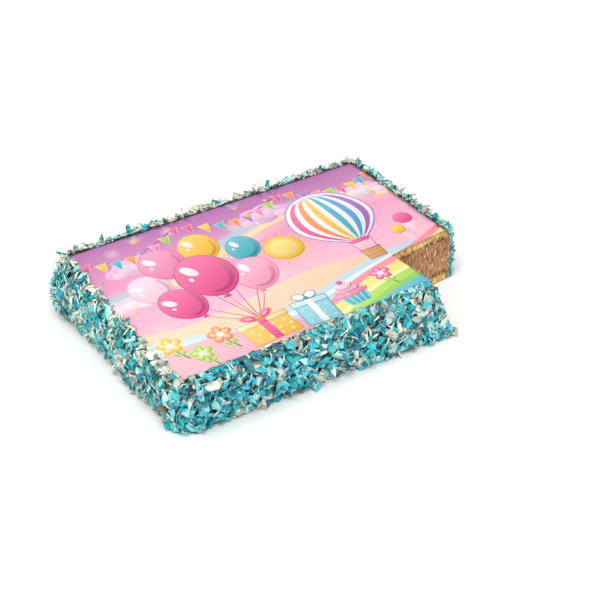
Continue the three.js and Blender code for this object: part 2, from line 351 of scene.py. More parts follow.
def print_material():
    """The sheet's ink: motifs by their colour attribute, over a ground that fades from lilac to peach."""
    shader = Shader("print_ink", 0.42)
    shader.surface.inputs["Specular IOR Level"].default_value = 0.35
    place = shader.place()
    ink = shader.nodes.new("ShaderNodeAttribute")
    ink.attribute_name = "ink"
    cloud = shader.noise(shader.stretched(place, 0.55, 1.0, 1.0), 60.0, 2.0)
    across, along = shader.axis(place, 0), shader.axis(place, 1)
    share = shader.math("MULTIPLY_ADD", along, 1 / (2 * SHEET_HALF[1] * MM), 0.5 - GROUND_CLOUD / 2)
    ground = shader.ramp(shader.math("MULTIPLY_ADD", cloud, GROUND_CLOUD, share), GROUND)
    middle, height, length, slope, shift = GROUND_LINE
    wave = shader.math("SINE", shader.math("MULTIPLY_ADD", across, 1 / (length * MM), 0.6))
    line = shader.math("MULTIPLY_ADD", across, slope, middle * MM)
    line = shader.math("MULTIPLY_ADD", wave, height * MM, line)
    line = shader.math("MULTIPLY_ADD", cloud, shift * MM, line)
    for colour, offset, half in GROUND_STREAKS:
        away = shader.math("SUBTRACT", shader.math("SUBTRACT", along, line), offset * MM)
        near = shader.fit(shader.math("ABSOLUTE", away), half * MM, 0.0, 0.0, STREAK_STRENGTH)
        ground = shader.mix(near, ground, colour)
    glow = shader.fit(shader.spots(place, 34.0), 0.3, 0.04, 0.0, 0.3)
    ground = shader.mix(glow, ground, "#ffffff")
    drawn = shader.mix(ink.outputs["Alpha"], ground, ink.outputs["Color"])
    grain = shader.ramp(shader.noise(place, 1.4, 2.0), INK_GRAIN)
    shader.colour(shader.mix(0.14, drawn, grain, "MULTIPLY"))
    shader.bump(shader.noise(place, 7.0, 2.0), 0.35, 0.5)
    return shader.material


# Outlines of the coat and of the cut


def corner_roundings():
    """Centre, start angle and end angle of each rounded corner, and the sides' normals."""
    along = np.roll(COAT_CORNERS, -1, axis=0) - COAT_CORNERS
    normals = np.stack([along[:, 1], -along[:, 0]], axis=1)
    normals /= np.linalg.norm(normals, axis=1)[:, None]
    roundings = []
    for corner, before, after in zip(COAT_CORNERS, np.roll(normals, 1, axis=0), normals):
        centre = corner - (before + after) * CORNER_RADIUS / (1 + before @ after)
        start = math.atan2(before[1], before[0])
        end = math.atan2(after[1], after[0])
        roundings.append((centre, start, end if end > start else end + 2 * math.pi))
    return roundings, normals


ROUNDINGS, SIDE_NORMALS = corner_roundings()


def spine(spacing):
    """Centres and normals round the outline: centre + normal * (radius - inset) is its point at any inset."""
    centres, normals = [], []
    for index, (centre, start, end) in enumerate(ROUNDINGS):
        steps = max(2, round(CORNER_RADIUS * (end - start) / spacing))
        for angle in np.linspace(start, end, steps, endpoint=False):
            centres.append(centre)
            normals.append((math.cos(angle), math.sin(angle)))
        following = ROUNDINGS[(index + 1) % len(ROUNDINGS)][0]
        steps = round(np.linalg.norm(following - centre) / spacing)
        for share in np.arange(steps) / steps:
            centres.append(centre + (following - centre) * share)
            normals.append(SIDE_NORMALS[index])
    return np.array(centres), np.array(normals)


def lean_out(height):
    """How far the coat's end stands out past the cut at a height: less than nothing at its top."""
    return COAT_LEAN - (COAT_LEAN + COAT_DRAWN_BACK) * np.clip(height / PRINT_TOP, 0, 1)


def depth_in_cut(points):
    """How deep points lie inside the cut, past the nearer of its two upright walls."""
    offset = points[..., :2] - CUT_CORNER
    return np.minimum(offset @ CUT_RIGHT, offset @ CUT_FRONT)


def past_ends(points):
    """How far points lie past the coat's two ends at the cut, of which the first leans."""
    offset = points[..., :2] - CUT_CORNER
    return offset @ CUT_RIGHT - lean_out(points[..., 2]), offset @ CUT_FRONT


def loft(rings):
    """Points and faces of a closed solid through rings of equal length, the lowest first."""
    count = len(rings[0])
    points = np.concatenate(rings)
    faces = [tuple(range(count))[::-1]]
    for row in range(len(rings) - 1):
        for column in range(count):
            here = row * count
            following = (column + 1) % count
            faces.append((here + column, here + following, here + count + following, here + count + column))
    top = (len(rings) - 1) * count
    faces.append(tuple(range(top, top + count)))
    return points, faces


def ring_at(centres, normals, inset, height):
    points = centres + normals * (CORNER_RADIUS - inset)
    return np.column_stack([points, np.full(len(points), height)])


# Camera, floor and light


def set_camera():
    camera = bpy.data.objects.new("camera", bpy.data.cameras.new("camera"))
    camera.location = Vector(CAMERA_PLACE) * MM
    camera.rotation_euler = (math.pi / 2 - CAMERA_PITCH, 0, -CAMERA_YAW)
    camera.data.lens = CAMERA_LENS
    camera.data.sensor_width = CAMERA_SENSOR
    bpy.context.scene.collection.objects.link(camera)
    bpy.context.scene.camera = camera


# Floor: its half width, its white, and its glow beside the cake, a little way off and far behind it, as
# in a light tent
FLOOR_HALF = 20000.0
FLOOR_WHITE = ((0.3, "#f7f7f6"), (0.7, "#fbfbfa"))
CAKE_HALF = (152.0, 103.0)
NEAR_GLOW = (0.0, 34.0, 0.1)
FAR_GLOW = (120.0, 700.0, 0.4)

# Soft shadow where the cake's front meets the floor: its line's ends and place, its width and its colour
FOOT_ENDS = (-125.0, 92.0)
FOOT_LINE = -103.0
FOOT_SHADOW = (15.0, "#e7e7e6")

# Lights: name, place, size and power, then what they aim at and how bright the white world is
LIGHTS = (
    ("key", (-450, -400, 1300), 800, 12),
    ("fill", (300, -1300, 700), 900, 6),
    ("side", (-1300, 200, 650), 700, 3),
)
LIGHT_AIM = (0.0, 0.0, 30.0)
WORLD_STRENGTH = 0.55


def set_floor():
    shader = Shader("floor", 0.7)
    place = shader.place()
    shader.surface.inputs["Specular IOR Level"].default_value = 0.1
    x, y = shader.axis(place, 0), shader.axis(place, 1)
    nearest = shader.add("ShaderNodeClamp", {0: x, 1: FOOT_ENDS[0] * MM, 2: FOOT_ENDS[1] * MM})
    beyond = shader.math("SUBTRACT", x, nearest)
    ahead = shader.math("SUBTRACT", y, FOOT_LINE * MM)
    squared = shader.math("MULTIPLY_ADD", beyond, beyond, shader.math("MULTIPLY", ahead, ahead))
    width, shade = FOOT_SHADOW
    white = shader.ramp(shader.noise(place, 400.0, 1.0), FLOOR_WHITE)
    shader.colour(shader.mix(shader.fit(shader.math("SQRT", squared), width * MM, 0.0), white, shade))
    beside = [shader.math("SUBTRACT", shader.math("ABSOLUTE", along), half * MM)
              for along, half in zip((x, y), CAKE_HALF)]
    away = shader.math("MAXIMUM", *beside)
    near, far = (
        shader.fit(away, low * MM, high * MM, 0.0, glow) for low, high, glow in (NEAR_GLOW, FAR_GLOW)
    )
    shader.surface.inputs["Emission Color"].default_value = (1, 1, 1, 1)
    shader.links.new(shader.math("ADD", near, far), shader.surface.inputs["Emission Strength"])
    corners = [(*corner, 0) for corner in FLOOR_HALF * CORNER_SIGNS]
    put("floor", corners, [(0, 1, 2, 3)], shader.material)


def area_light(name, place, size, power):
    lamp = bpy.data.objects.new(name, bpy.data.lights.new(name, "AREA"))
    lamp.data.shape = "DISK"
    lamp.data.size = size * MM
    lamp.data.energy = power
    lamp.location = Vector(place) * MM
    toward = (Vector(LIGHT_AIM) - Vector(place)).normalized()
    lamp.rotation_euler = toward.to_track_quat("-Z", "Y").to_euler()
    bpy.context.scene.collection.objects.link(lamp)


def set_light():
    world = bpy.data.worlds.new("studio")
    bpy.context.scene.world = world
    world.use_nodes = True
    world.node_tree.nodes["Background"].inputs["Color"].default_value = (1, 1, 1, 1)
    world.node_tree.nodes["Background"].inputs["Strength"].default_value = WORLD_STRENGTH
    for light in LIGHTS:
        area_light(*light)
    view = bpy.context.scene.view_settings
    view.view_transform = "Standard"
    view.look = "None"
    view.exposure = 0.0


# Coat of cream

CREAM_SPACING = 2.0
PLACE_SPACING = 1.0
CREAM_BUMP = 1.1
CREAM_BUMP_SIZE = 5.5
WAVE_DEPTH = 0.6
WAVE_LENGTH = 24.0
SHOULDER_STEPS = 6
SLICED_WITHIN = 0.05

# Where the coat swells out or draws in, to follow the real outline: x, y, height, and by how much
SWELLS = (
    (-148, 98, 17, 7.0), (-152, 78, 0, -5.5), (-152, 40, 0, -3.6), (-150, 6, 0, -4.5), (-147, -56, 0, -5.0),
    (-140, -92, 0, -3.4), (-100, -100, 0, -1.5), (95, -103, 0, 5.5), (40, -100, 0, 2.0), (150, 60, 46, -2.5),
    (-20, -100, 0, -1.5), (-70, -100, 0, -2.0),
)
SWELL_SPREAD = 18.0
SWELL_HEIGHT = 13.0


def swell(points):
    """How far the coat stands out more, or less, than its plain form at given points."""
    total = np.zeros(len(points))
    for x, y, height, amount in SWELLS:
        away = ((points[:, 0] - x) ** 2 + (points[:, 1] - y) ** 2) / SWELL_SPREAD ** 2
        total += amount * np.exp(-0.5 * away - 0.5 * ((points[:, 2] - height) / SWELL_HEIGHT) ** 2)
    return total


def section_points(spacing):
    """Insets and heights along the coat's section, evenly spaced."""
    lengths = np.linalg.norm(np.diff(COAT_SECTION, axis=0), axis=1)
    along = np.concatenate([[0], np.cumsum(lengths)])
    places = np.linspace(0, along[-1], round(along[-1] / spacing) + 1)
    return np.interp(places, along, COAT_SECTION[:, 0]), np.interp(places, along, COAT_SECTION[:, 1])


def coat_block(grow, bottom):
    """Rings of the room under the coat: the layers' outline with the top sponge's rounded edge."""
    centres, normals = spine(OUTLINE_SPACING)
    rings = [ring_at(centres, normals, COAT_THICKNESS - grow, bottom)]
    for angle in np.linspace(0, math.pi / 2, SHOULDER_STEPS + 1):
        inset = SHOULDER_RADIUS * (1 - math.cos(angle))
        height = TOP_SPONGE_TOP - SHOULDER_RADIUS + SHOULDER_RADIUS * math.sin(angle)
        rings.append(ring_at(centres, normals, COAT_THICKNESS + inset - grow, height + grow))
    return rings


def upright_rings(corners, heights):
    """Rings of an upright block, one at each height."""
    return [np.column_stack([corners, np.full(len(corners), height)]) for height in heights]


def cut_rings():
    """The block that the cut takes from the coat, whose first wall leans."""
    right = CUT_RIGHT * CUT_REACH
    front = CUT_FRONT * CUT_REACH
    corners = [CUT_CORNER, CUT_CORNER + front, CUT_CORNER + front + right, CUT_CORNER + right]
    rings = upright_rings(corners, (-GAP, 0.0, PRINT_TOP, CLEAR_TOP))
    for ring in rings:
        ring[:2, :2] += lean_out(ring[0, 2]) * CUT_RIGHT
    return rings


def subtract(piece, rings_list):
    """Cuts closed lofts from a piece."""
    for rings in rings_list:
        cutter = put("cutter", *loft(rings), None)
        modifier = piece.modifiers.new("cut", "BOOLEAN")
        modifier.operation = "DIFFERENCE"
        modifier.solver = "MANIFOLD"
        modifier.object = cutter
        cut = bpy.data.meshes.new_from_object(piece.evaluated_get(bpy.context.evaluated_depsgraph_get()))
        piece.modifiers.clear()
        piece.data = cut
        bpy.data.objects.remove(cutter)


def make_coat_cream():
    centres, normals = spine(CREAM_SPACING)
    insets, heights = section_points(CREAM_SPACING)
    rings = []
    for row, (inset, height) in enumerate(zip(insets, heights)):
        ring = ring_at(centres, normals, inset, height)
        ring[:, :2] += normals * swell(ring)[:, None]
        if 0 < row < len(insets) - 1:
            for point, normal in zip(ring, normals):
                x, y = point[:2]
                wave = WAVE_DEPTH * math.sin((x + y) / WAVE_LENGTH) * math.sin((x - 2 * y) / WAVE_LENGTH)
                bump = CREAM_BUMP * noise.noise(Vector(point) / CREAM_BUMP_SIZE)
                push = wave + bump * (1 - inset / COAT_INNER[0])
                point[:2] += normal * push
                point[2] += bump * min(1.0, inset / SHOULDER_RADIUS)
        rings.append(ring)
    rings.append(ring_at(centres, normals, *COAT_INNER))
    piece = put("coat_cream", *loft(rings), cream_material(), smooth=True)
    sheet_room = upright_rings((SHEET_HALF + GAP) * CORNER_SIGNS, (TOP_SPONGE_TOP - GAP, CLEAR_TOP))
    subtract(piece, [cut_rings(), coat_block(GAP, -GAP), sheet_room])
    faces = piece.data.polygons
    middles = np.array([face.center for face in faces]) / MM
    cut = (np.abs(np.minimum(*past_ends(middles))) < SLICED_WITHIN).astype(float)
    piece.data.attributes.new("cut", "FLOAT", "FACE").data.foreach_set("value", cut)
    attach(piece, "root")
    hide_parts("flake_coat")


# Flakes


# How many flakes are scattered over the coat, and the share of them that is kept, close to the sheet, on
# the coat's leaning end and on its other end at the cut, and how the rim's are shared between left, back,
# right and front
FLAKE_COUNT = 7900
KEPT_SHARE = 0.74
RIM_COUNT = 640
LEAN_COUNT = 150
CUT_END_COUNT = 220
RIM_SHARES = (0.2, 0.28, 0.22, 0.3)

# Rim flakes: distance from the sheet and what the front adds, how far under the print's top at the front
# and elsewhere, how far that varies, and how they slope
RIM_AWAY = (-0.6, 3.6)
RIM_FRONT_AWAY = 0.8
RIM_LOW = (2.4, 1.2)
RIM_SPREAD = 1.7
RIM_SLOPE = 0.5

# Flakes on the coat's ends at the cut: heights, how deep in the coat, how far sunk, and their slope
LEAN_HEIGHTS = (1.0, PRINT_TOP - 4)
LEAN_DEPTHS = (-1.0, COAT_THICKNESS + 3)
LEAN_SUNK = 1.0
LEAN_FACING = (0.9, -0.45)
END_HEIGHTS = (1.0, PRINT_TOP)
END_INSETS = (0.0, 3.4)
END_SUNK = (0.5, 2.5)
END_RISE = 0.25

# Form of one flake: its ring of corners, how they stray and reach, its taper, and how it curls
FLAKE_CORNERS = 7
CORNER_STRAY = 0.3
CORNER_REACH = (0.52, 1.2)
TAPER = 0.45
INNER_RING = 0.78
FLAKE_THICKNESS = (0.55, 1.15)
FLAKE_CURL = 0.12
FLAKE_TWIST = 0.06
FLAKE_ROUGH = 0.38
SIZE_POWER = 1.15
WIDEST_PLATE = 0.85
NEEDLE_HALF_LENGTH = (3.6, 7.0)
NEEDLE_HALF_WIDTH = (0.5, 0.95)

# How the flakes differ between a smooth stretch, as at the front, and a shaggy one, as at the left, and
# how shaggy the back and the right are
SIDE_SHAGGY = 0.6
HALF_LENGTH_LOW = (3.0, 3.1)
HALF_LENGTH_HIGH = (7.6, 7.2)
HALF_WIDTH_LOW = (2.0, 1.8)
HALF_WIDTH_HIGH = (4.8, 4.2)
NEEDLE_SHARE = (0.22, 0.26)
FLAT_SHARE = (0.48, 0.34)
STEEP_SHARE = (0.14, 0.22)
BLUE_SHARE = (0.86, 0.83)
PATCH_WHITES = (0.34, 0.8)

# Scale of flakes on the front rim, the rest of the rim and the cut's end, and what the coat's shoulder
# takes off the others; the shoulder's insets; and how squarely a flake faces front or left to count as it
SCALES = (0.65, 0.85, 0.75)
SHOULDER_SHRINK = 0.1
SHOULDER_FROM, SHOULDER_OVER = 2.5, 5.0
SQUARELY = 0.8

# How flakes lie: angles in degrees, what the shoulder adds to the flat ones, the needles' least share of
# flat ones, and how many long flakes stand upright on shaggy sides
FLAT_ANGLE = 13
MEDIUM_ANGLES = (20, 48)
STEEP_ANGLES = (45, 80)
SHOULDER_FLAT = 0.25
NEEDLES_FLAT = 0.75
UPRIGHT_SHARE = 0.65
UPRIGHT_SPREAD = 0.5

# How far flakes lie off the cream: the pile's depth, how often they lie deep in it, the needles' place in
# it, the rim's part of it, what a tilt lifts, and how far the shoulder sinks them
PILE = 2.6
PILE_POWER = 1.3
NEEDLE_LAYER = (0.5, 0.6)
RIM_PILE = 0.3
LOWEST_LIFT = 0.1
TILT_LIFT = 0.4
FRONT_SUNK = -0.8
SHOULDER_SUNK = (-1.6, -0.2)
FLOOR_CLEAR = 0.15

# How high the front rim stands along X, and how much the pile adds
FRONT_RIM_TOPS = (
    (-140, 51.0), (-116, 51.0), (-108, 52.3), (-74, 52.4), (-66, 50.8), (-46, 50.8), (-38, 52.6), (60, 53.0),
    (140, 53.0),
)
RIM_PILE_TOP = 1.2

# How far flakes reach over the sheet at the front, the left, the left's bare places and elsewhere, how far
# they may be moved or lifted there, and how ragged the coat's ends at the cut are
OVER_FRONT = 1.0
OVER_LEFT = 8.0
OVER_BARE = 0.3
OVER_PRINT = 2.6
MOST_MOVED = 7.0
MOST_LIFTED_LEFT = 3.6
MOST_LIFTED = 2.2
CUT_RAGGED = (0.2, 1.8)
LEAN_RAGGED = (0.5, 3.5)

# Bare places on the rim: their size, the noise that they begin at, and their least inset
BARE_SIZE = 7.5
BARE_FROM = 0.08
BARE_INSET = 8.0

# Colours: patches with more whites, the rim's whites at the front, the left and elsewhere, the front's
# growing whites and pale tints towards the right, and the whites among the needles
PATCH_SIZE = 15.0
PATCH_STRENGTH = 1.8
MOST_PATCH = 0.6
RIM_WHITES = (0.05, 0.42, 0.38)
WHITER, WHITER_FROM, WHITER_OVER = 0.25, -150.0, 250.0
PALER, PALER_FROM, PALER_OVER = 0.12, 40.0, 60.0
WHITE_NEEDLES = 0.6
TINT_TOP = 0.78
SHAGGY_TINT = 0.3
PATCH_TINT = 0.2
# Painted shade: how much darker the flakes on the shoulder at the back and right are
SHOULDER_SHADE = 0.15
# Painted shade: how much darker the front's white flakes are
FRONT_WHITE_SHADE = 0.22
NEEDLE_WHITE_TINT = 0.35


def shagginess(outward):
    """How shaggy the coat is by the way it faces: 0 at the front, 1 at the left, between elsewhere."""
    to_left, to_front = np.maximum(0, -outward).T
    return SIDE_SHAGGY + (1 - SIDE_SHAGGY) * to_left - SIDE_SHAGGY * to_front


def coat_places(count, random):
    """Scattered places on the coat's cream: point, normal, tangent, inset and side normal."""
    centres, normals = spine(PLACE_SPACING)
    edge = centres + normals * CORNER_RADIUS
    steps = np.linalg.norm(np.roll(edge, -1, axis=0) - edge, axis=1)
    along = np.concatenate([[0], np.cumsum(steps)])
    insets, heights = section_points(PLACE_SPACING)
    section = np.concatenate([[0], np.cumsum(np.hypot(np.diff(insets), np.diff(heights)))])
    rows = max(1, round(math.sqrt(count * section[-1] / along[-1])))
    columns = round(count / rows)
    row, column = np.divmod(np.arange(rows * columns), columns)
    up = (row + random.uniform(0, 1, len(row))) / rows * section[-1]
    place = (column + random.uniform(0, 1, len(row)) + (row % 2) / 2) / columns * along[-1] % along[-1]

    def around(values):
        closed = np.concatenate([values, values[:1]])
        return np.column_stack([np.interp(place, along, closed[:, axis]) for axis in range(2)])

    outward = around(normals)
    outward /= np.linalg.norm(outward, axis=1)[:, None]
    inset = np.interp(up, section, insets)
    height = np.interp(up, section, heights)
    climb = np.interp(up + 1, section, heights) - np.interp(up - 1, section, heights)
    inward = np.interp(up + 1, section, insets) - np.interp(up - 1, section, insets)
    foot = around(centres) + outward * (CORNER_RADIUS - inset)[:, None]
    normal = np.column_stack([outward * climb[:, None], inward])
    tangent = np.column_stack([-outward[:, 1], outward[:, 0], np.zeros(len(outward))])
    point = np.column_stack([foot, height])
    point[:, :2] += outward * swell(point)[:, None]
    return point, normal, tangent, inset, outward


def lean_places(count, random):
    """Scattered places on the coat's leaning end beside the cut's first wall."""
    height = random.uniform(*LEAN_HEIGHTS, count)
    front = (COAT_CORNERS[1][1] - CUT_CORNER[1]) / CUT_FRONT[1] - random.uniform(*LEAN_DEPTHS, count)
    foot = CUT_CORNER + CUT_FRONT * front[:, None]
    foot[:, 0] += lean_out(height) - LEAN_SUNK
    normal = np.tile((PRINT_TOP, -PRINT_TOP / 2, COAT_LEAN + COAT_DRAWN_BACK), (count, 1))
    tangent = np.tile((-LEAN_FACING[1], LEAN_FACING[0], 0.0), (count, 1))
    return np.column_stack([foot, height]), normal, tangent, np.zeros(count), np.tile(LEAN_FACING, (count, 1))


def cut_end_places(count, random):
    """Scattered places on the coat's end beside the cut's second wall, whose flakes are seen edge-on."""
    height = random.uniform(*END_HEIGHTS, count)
    outer = COAT_SECTION[:RIM_ROW]
    inset = np.interp(height, outer[:, 1], outer[:, 0]) + random.uniform(*END_INSETS, count)
    reach = reach_to_side(CUT_RIGHT, 1, inset)
    foot = CUT_CORNER + CUT_RIGHT * reach[:, None] - CUT_FRONT * random.uniform(*END_SUNK, count)[:, None]
    normal = np.tile((*CUT_RIGHT, END_RISE), (count, 1))
    tangent = np.tile((*CUT_FRONT, 0.0), (count, 1))
    return np.column_stack([foot, height]), normal, tangent, inset, np.tile(CUT_RIGHT, (count, 1))


def rim_places(count, random):
    """Scattered places close to the printed sheet's edges."""
    width, depth = SHEET_HALF
    away = random.uniform(*RIM_AWAY, count)
    edge = random.choice(4, count, p=RIM_SHARES)
    along_x = random.uniform(-width, width, count)
    along_y = random.uniform(-depth, depth, count)
    x = np.select([edge == 0, edge == 2], [-width - away, width + away], along_x)
    y = np.select([edge == 1, edge == 3], [depth + away, -depth - away - RIM_FRONT_AWAY], along_y)
    outward = np.array([(-1.0, 0.0), (0.0, 1.0), (1.0, 0.0), (0.0, -1.0)])[edge]
    low = np.where(edge == 3, *RIM_LOW)
    point = np.column_stack([x, y, PRINT_TOP - low + random.uniform(0, RIM_SPREAD, count)])
    normal = np.column_stack([-RIM_SLOPE * outward, np.ones(count)])
    tangent = np.column_stack([-outward[:, 1], outward[:, 0], np.zeros(count)])
    return point, normal, tangent, np.full(count, COAT_SECTION[RIM_ROW, 0]), outward


def blend(pair, share):
    return pair[0] + (pair[1] - pair[0]) * share


def flake_shapes(shaggy, random):
    """Points of curled uneven plates and needles about the origin: an array of flakes x points x 3."""
    count = len(shaggy)
    needle = random.uniform(0, 1, count) < blend(NEEDLE_SHARE, shaggy)
    size = random.uniform(0, 1, count) ** SIZE_POWER
    plate_length = blend((blend(HALF_LENGTH_LOW, shaggy), blend(HALF_LENGTH_HIGH, shaggy)), size)
    half_length = np.where(needle, random.uniform(*NEEDLE_HALF_LENGTH, count), plate_length)
    plate_width = random.uniform(blend(HALF_WIDTH_LOW, shaggy), blend(HALF_WIDTH_HIGH, shaggy))
    plate_width = np.minimum(plate_width, WIDEST_PLATE * plate_length)
    half_width = np.where(needle, random.uniform(*NEEDLE_HALF_WIDTH, count), plate_width)
    thickness = random.uniform(*FLAKE_THICKNESS, count)
    stray = random.uniform(-CORNER_STRAY, CORNER_STRAY, (count, FLAKE_CORNERS))
    turns = (np.arange(FLAKE_CORNERS) + stray) / FLAKE_CORNERS
    reach = random.uniform(*CORNER_REACH, (count, FLAKE_CORNERS))
    taper = random.uniform(-TAPER, TAPER, count)[:, None]
    x = reach * np.cos(2 * math.pi * turns)
    y = reach * np.sin(2 * math.pi * turns) * (1 - taper * x)
    x, y = x * half_length[:, None], y * half_width[:, None]
    middle = np.zeros((count, 1))
    x = np.column_stack([x, INNER_RING * x, middle, middle])
    y = np.column_stack([y, INNER_RING * y, middle, middle])
    side = np.repeat([0.0, 0.5, 0.5, -0.5], [FLAKE_CORNERS, FLAKE_CORNERS, 1, 1])
    curl = random.uniform(-FLAKE_CURL, FLAKE_CURL, count)
    twist = random.uniform(-FLAKE_TWIST, FLAKE_TWIST, count)
    bend = curl[:, None] * (x ** 2 - (half_length ** 2)[:, None] / 3) + twist[:, None] * x * y
    rough = random.uniform(-FLAKE_ROUGH, FLAKE_ROUGH, x.shape) * (side >= 0)
    return np.stack([x, y, bend + rough + side * thickness[:, None]], axis=2), half_width, needle


def flake_faces():
    """Triangles of one flake: a ringed upper side and a plain lower side that meet in its edge."""
    inner, middle, lower = FLAKE_CORNERS, 2 * FLAKE_CORNERS, 2 * FLAKE_CORNERS + 1
    faces = []
    for corner in range(FLAKE_CORNERS):
        following = (corner + 1) % FLAKE_CORNERS
        faces.append((middle, inner + corner, inner + following))
        faces.append((inner + corner, corner, following))
        faces.append((inner + corner, following, inner + following))
        faces.append((lower, following, corner))
    return np.array(faces)


def turned(shapes, normal, tangent, tilt, spin, lean):
    """Shapes laid on their places, spun about the normal and tilted about an axis in the surface."""
    normal = normal / np.linalg.norm(normal, axis=1)[:, None]
    tangent = tangent - normal * np.sum(normal * tangent, axis=1)[:, None]
    tangent = tangent / np.linalg.norm(tangent, axis=1)[:, None]
    side = np.cross(normal, tangent)
    cos_spin, sin_spin = np.cos(spin)[:, None], np.sin(spin)[:, None]
    x = shapes[:, :, 0] * cos_spin - shapes[:, :, 1] * sin_spin
    y = shapes[:, :, 0] * sin_spin + shapes[:, :, 1] * cos_spin
    z = shapes[:, :, 2]
    cos_lean, sin_lean = np.cos(lean)[:, None], np.sin(lean)[:, None]
    along = x * cos_lean + y * sin_lean
    across = -x * sin_lean + y * cos_lean
    cos_tilt, sin_tilt = np.cos(tilt)[:, None], np.sin(tilt)[:, None]
    across, z = across * cos_tilt - z * sin_tilt, across * sin_tilt + z * cos_tilt
    x = along * cos_lean - across * sin_lean
    y = along * sin_lean + across * cos_lean
    return x[:, :, None] * tangent[:, None] + y[:, :, None] * side[:, None] + z[:, :, None] * normal[:, None]


def clear_of_print(flakes, over_limit):
    """Lifts flakes that reach a little over the sheet onto it and moves others off it; gives the flakes,
    how far each was moved and lifted, and which lie wholly over the sheet."""
    sign = np.sign(flakes.mean(axis=1)[:, :2])

    def inside_sheet():
        past = SHEET_HALF - flakes[:, :, :2] * sign[:, None]
        return past, past.min(axis=2) > -GAP

    past, inside = inside_sheet()
    over = np.where(inside, past.min(axis=2), 0).max(axis=1)
    on_print = inside.any(axis=1) & (flakes[:, :, 2].max(axis=1) > TOP_SPONGE_TOP - GAP)
    nearest = past.max(axis=1)
    along_x = nearest[:, 0] < nearest[:, 1]
    pushed = on_print & (over > over_limit)
    push = np.where(pushed, over - over_limit / 2, 0)
    flakes = flakes.copy()
    flakes[:, :, 0] += (push * along_x * sign[:, 0])[:, None]
    flakes[:, :, 1] += (push * ~along_x * sign[:, 1])[:, None]
    past, inside = inside_sheet()
    lowest = np.where(inside, flakes[:, :, 2], CLEAR_TOP).min(axis=1)
    lift = np.where(inside.any(axis=1) & on_print, np.maximum(0, PRINT_TOP + GAP - lowest), 0)
    flakes[:, :, 2] += lift[:, None]
    return flakes, push, lift, inside.all(axis=1) & on_print


def clear_of_cut(flakes, ragged):
    """Moves flakes back from the cut until they stand out by no more than ragged; gives how far too."""
    first, second = past_ends(flakes)
    by_first = first.mean(axis=1) < second.mean(axis=1)
    too_deep = np.minimum(first, second).max(axis=1) > ragged
    depth = np.where(by_first, first.max(axis=1), second.max(axis=1))
    back = np.where(too_deep, depth - ragged, 0)
    direction = np.where(by_first[:, None], CUT_RIGHT, CUT_FRONT)
    moved = flakes.copy()
    moved[:, :, :2] -= (direction * back[:, None])[:, None]
    return moved, back


def noise_at(points, size):
    return np.array([noise.noise(Vector(point) / size) for point in points])


def flake_colours(point, shoulder, front, left, shaggy, needle, random):
    """Which flakes are blue, and the tint of each."""
    count = len(point)
    patch = np.clip(PATCH_STRENGTH * noise_at(point, PATCH_SIZE), -MOST_PATCH, MOST_PATCH)
    pale = np.clip((point[:, 0] - PALER_FROM) / PALER_OVER, 0, 1) * front
    whiter = WHITER * np.clip((point[:, 0] - WHITER_FROM) / WHITER_OVER, 0, 1) * front
    fewer = np.select([front, left], RIM_WHITES[:2], RIM_WHITES[2]) * shoulder + whiter
    fewer = fewer + blend(PATCH_WHITES, shaggy) * patch
    blue = random.uniform(0, 1, count) < blend(BLUE_SHARE, shaggy) - fewer
    blue &= ~(needle & (random.uniform(0, 1, count) < WHITE_NEEDLES))
    tint = random.uniform(0.0, TINT_TOP + SHAGGY_TINT * shaggy, count) + PALER * pale - PATCH_TINT * patch
    # Painted shade on the shoulder's flakes at the back and right
    tint -= SHOULDER_SHADE * shoulder * ~front * ~left
    # Painted shade on the front's white flakes
    tint -= FRONT_WHITE_SHADE * (front & ~blue & ~needle)
    tint += NEEDLE_WHITE_TINT * (needle & ~blue)
    return blue, tint


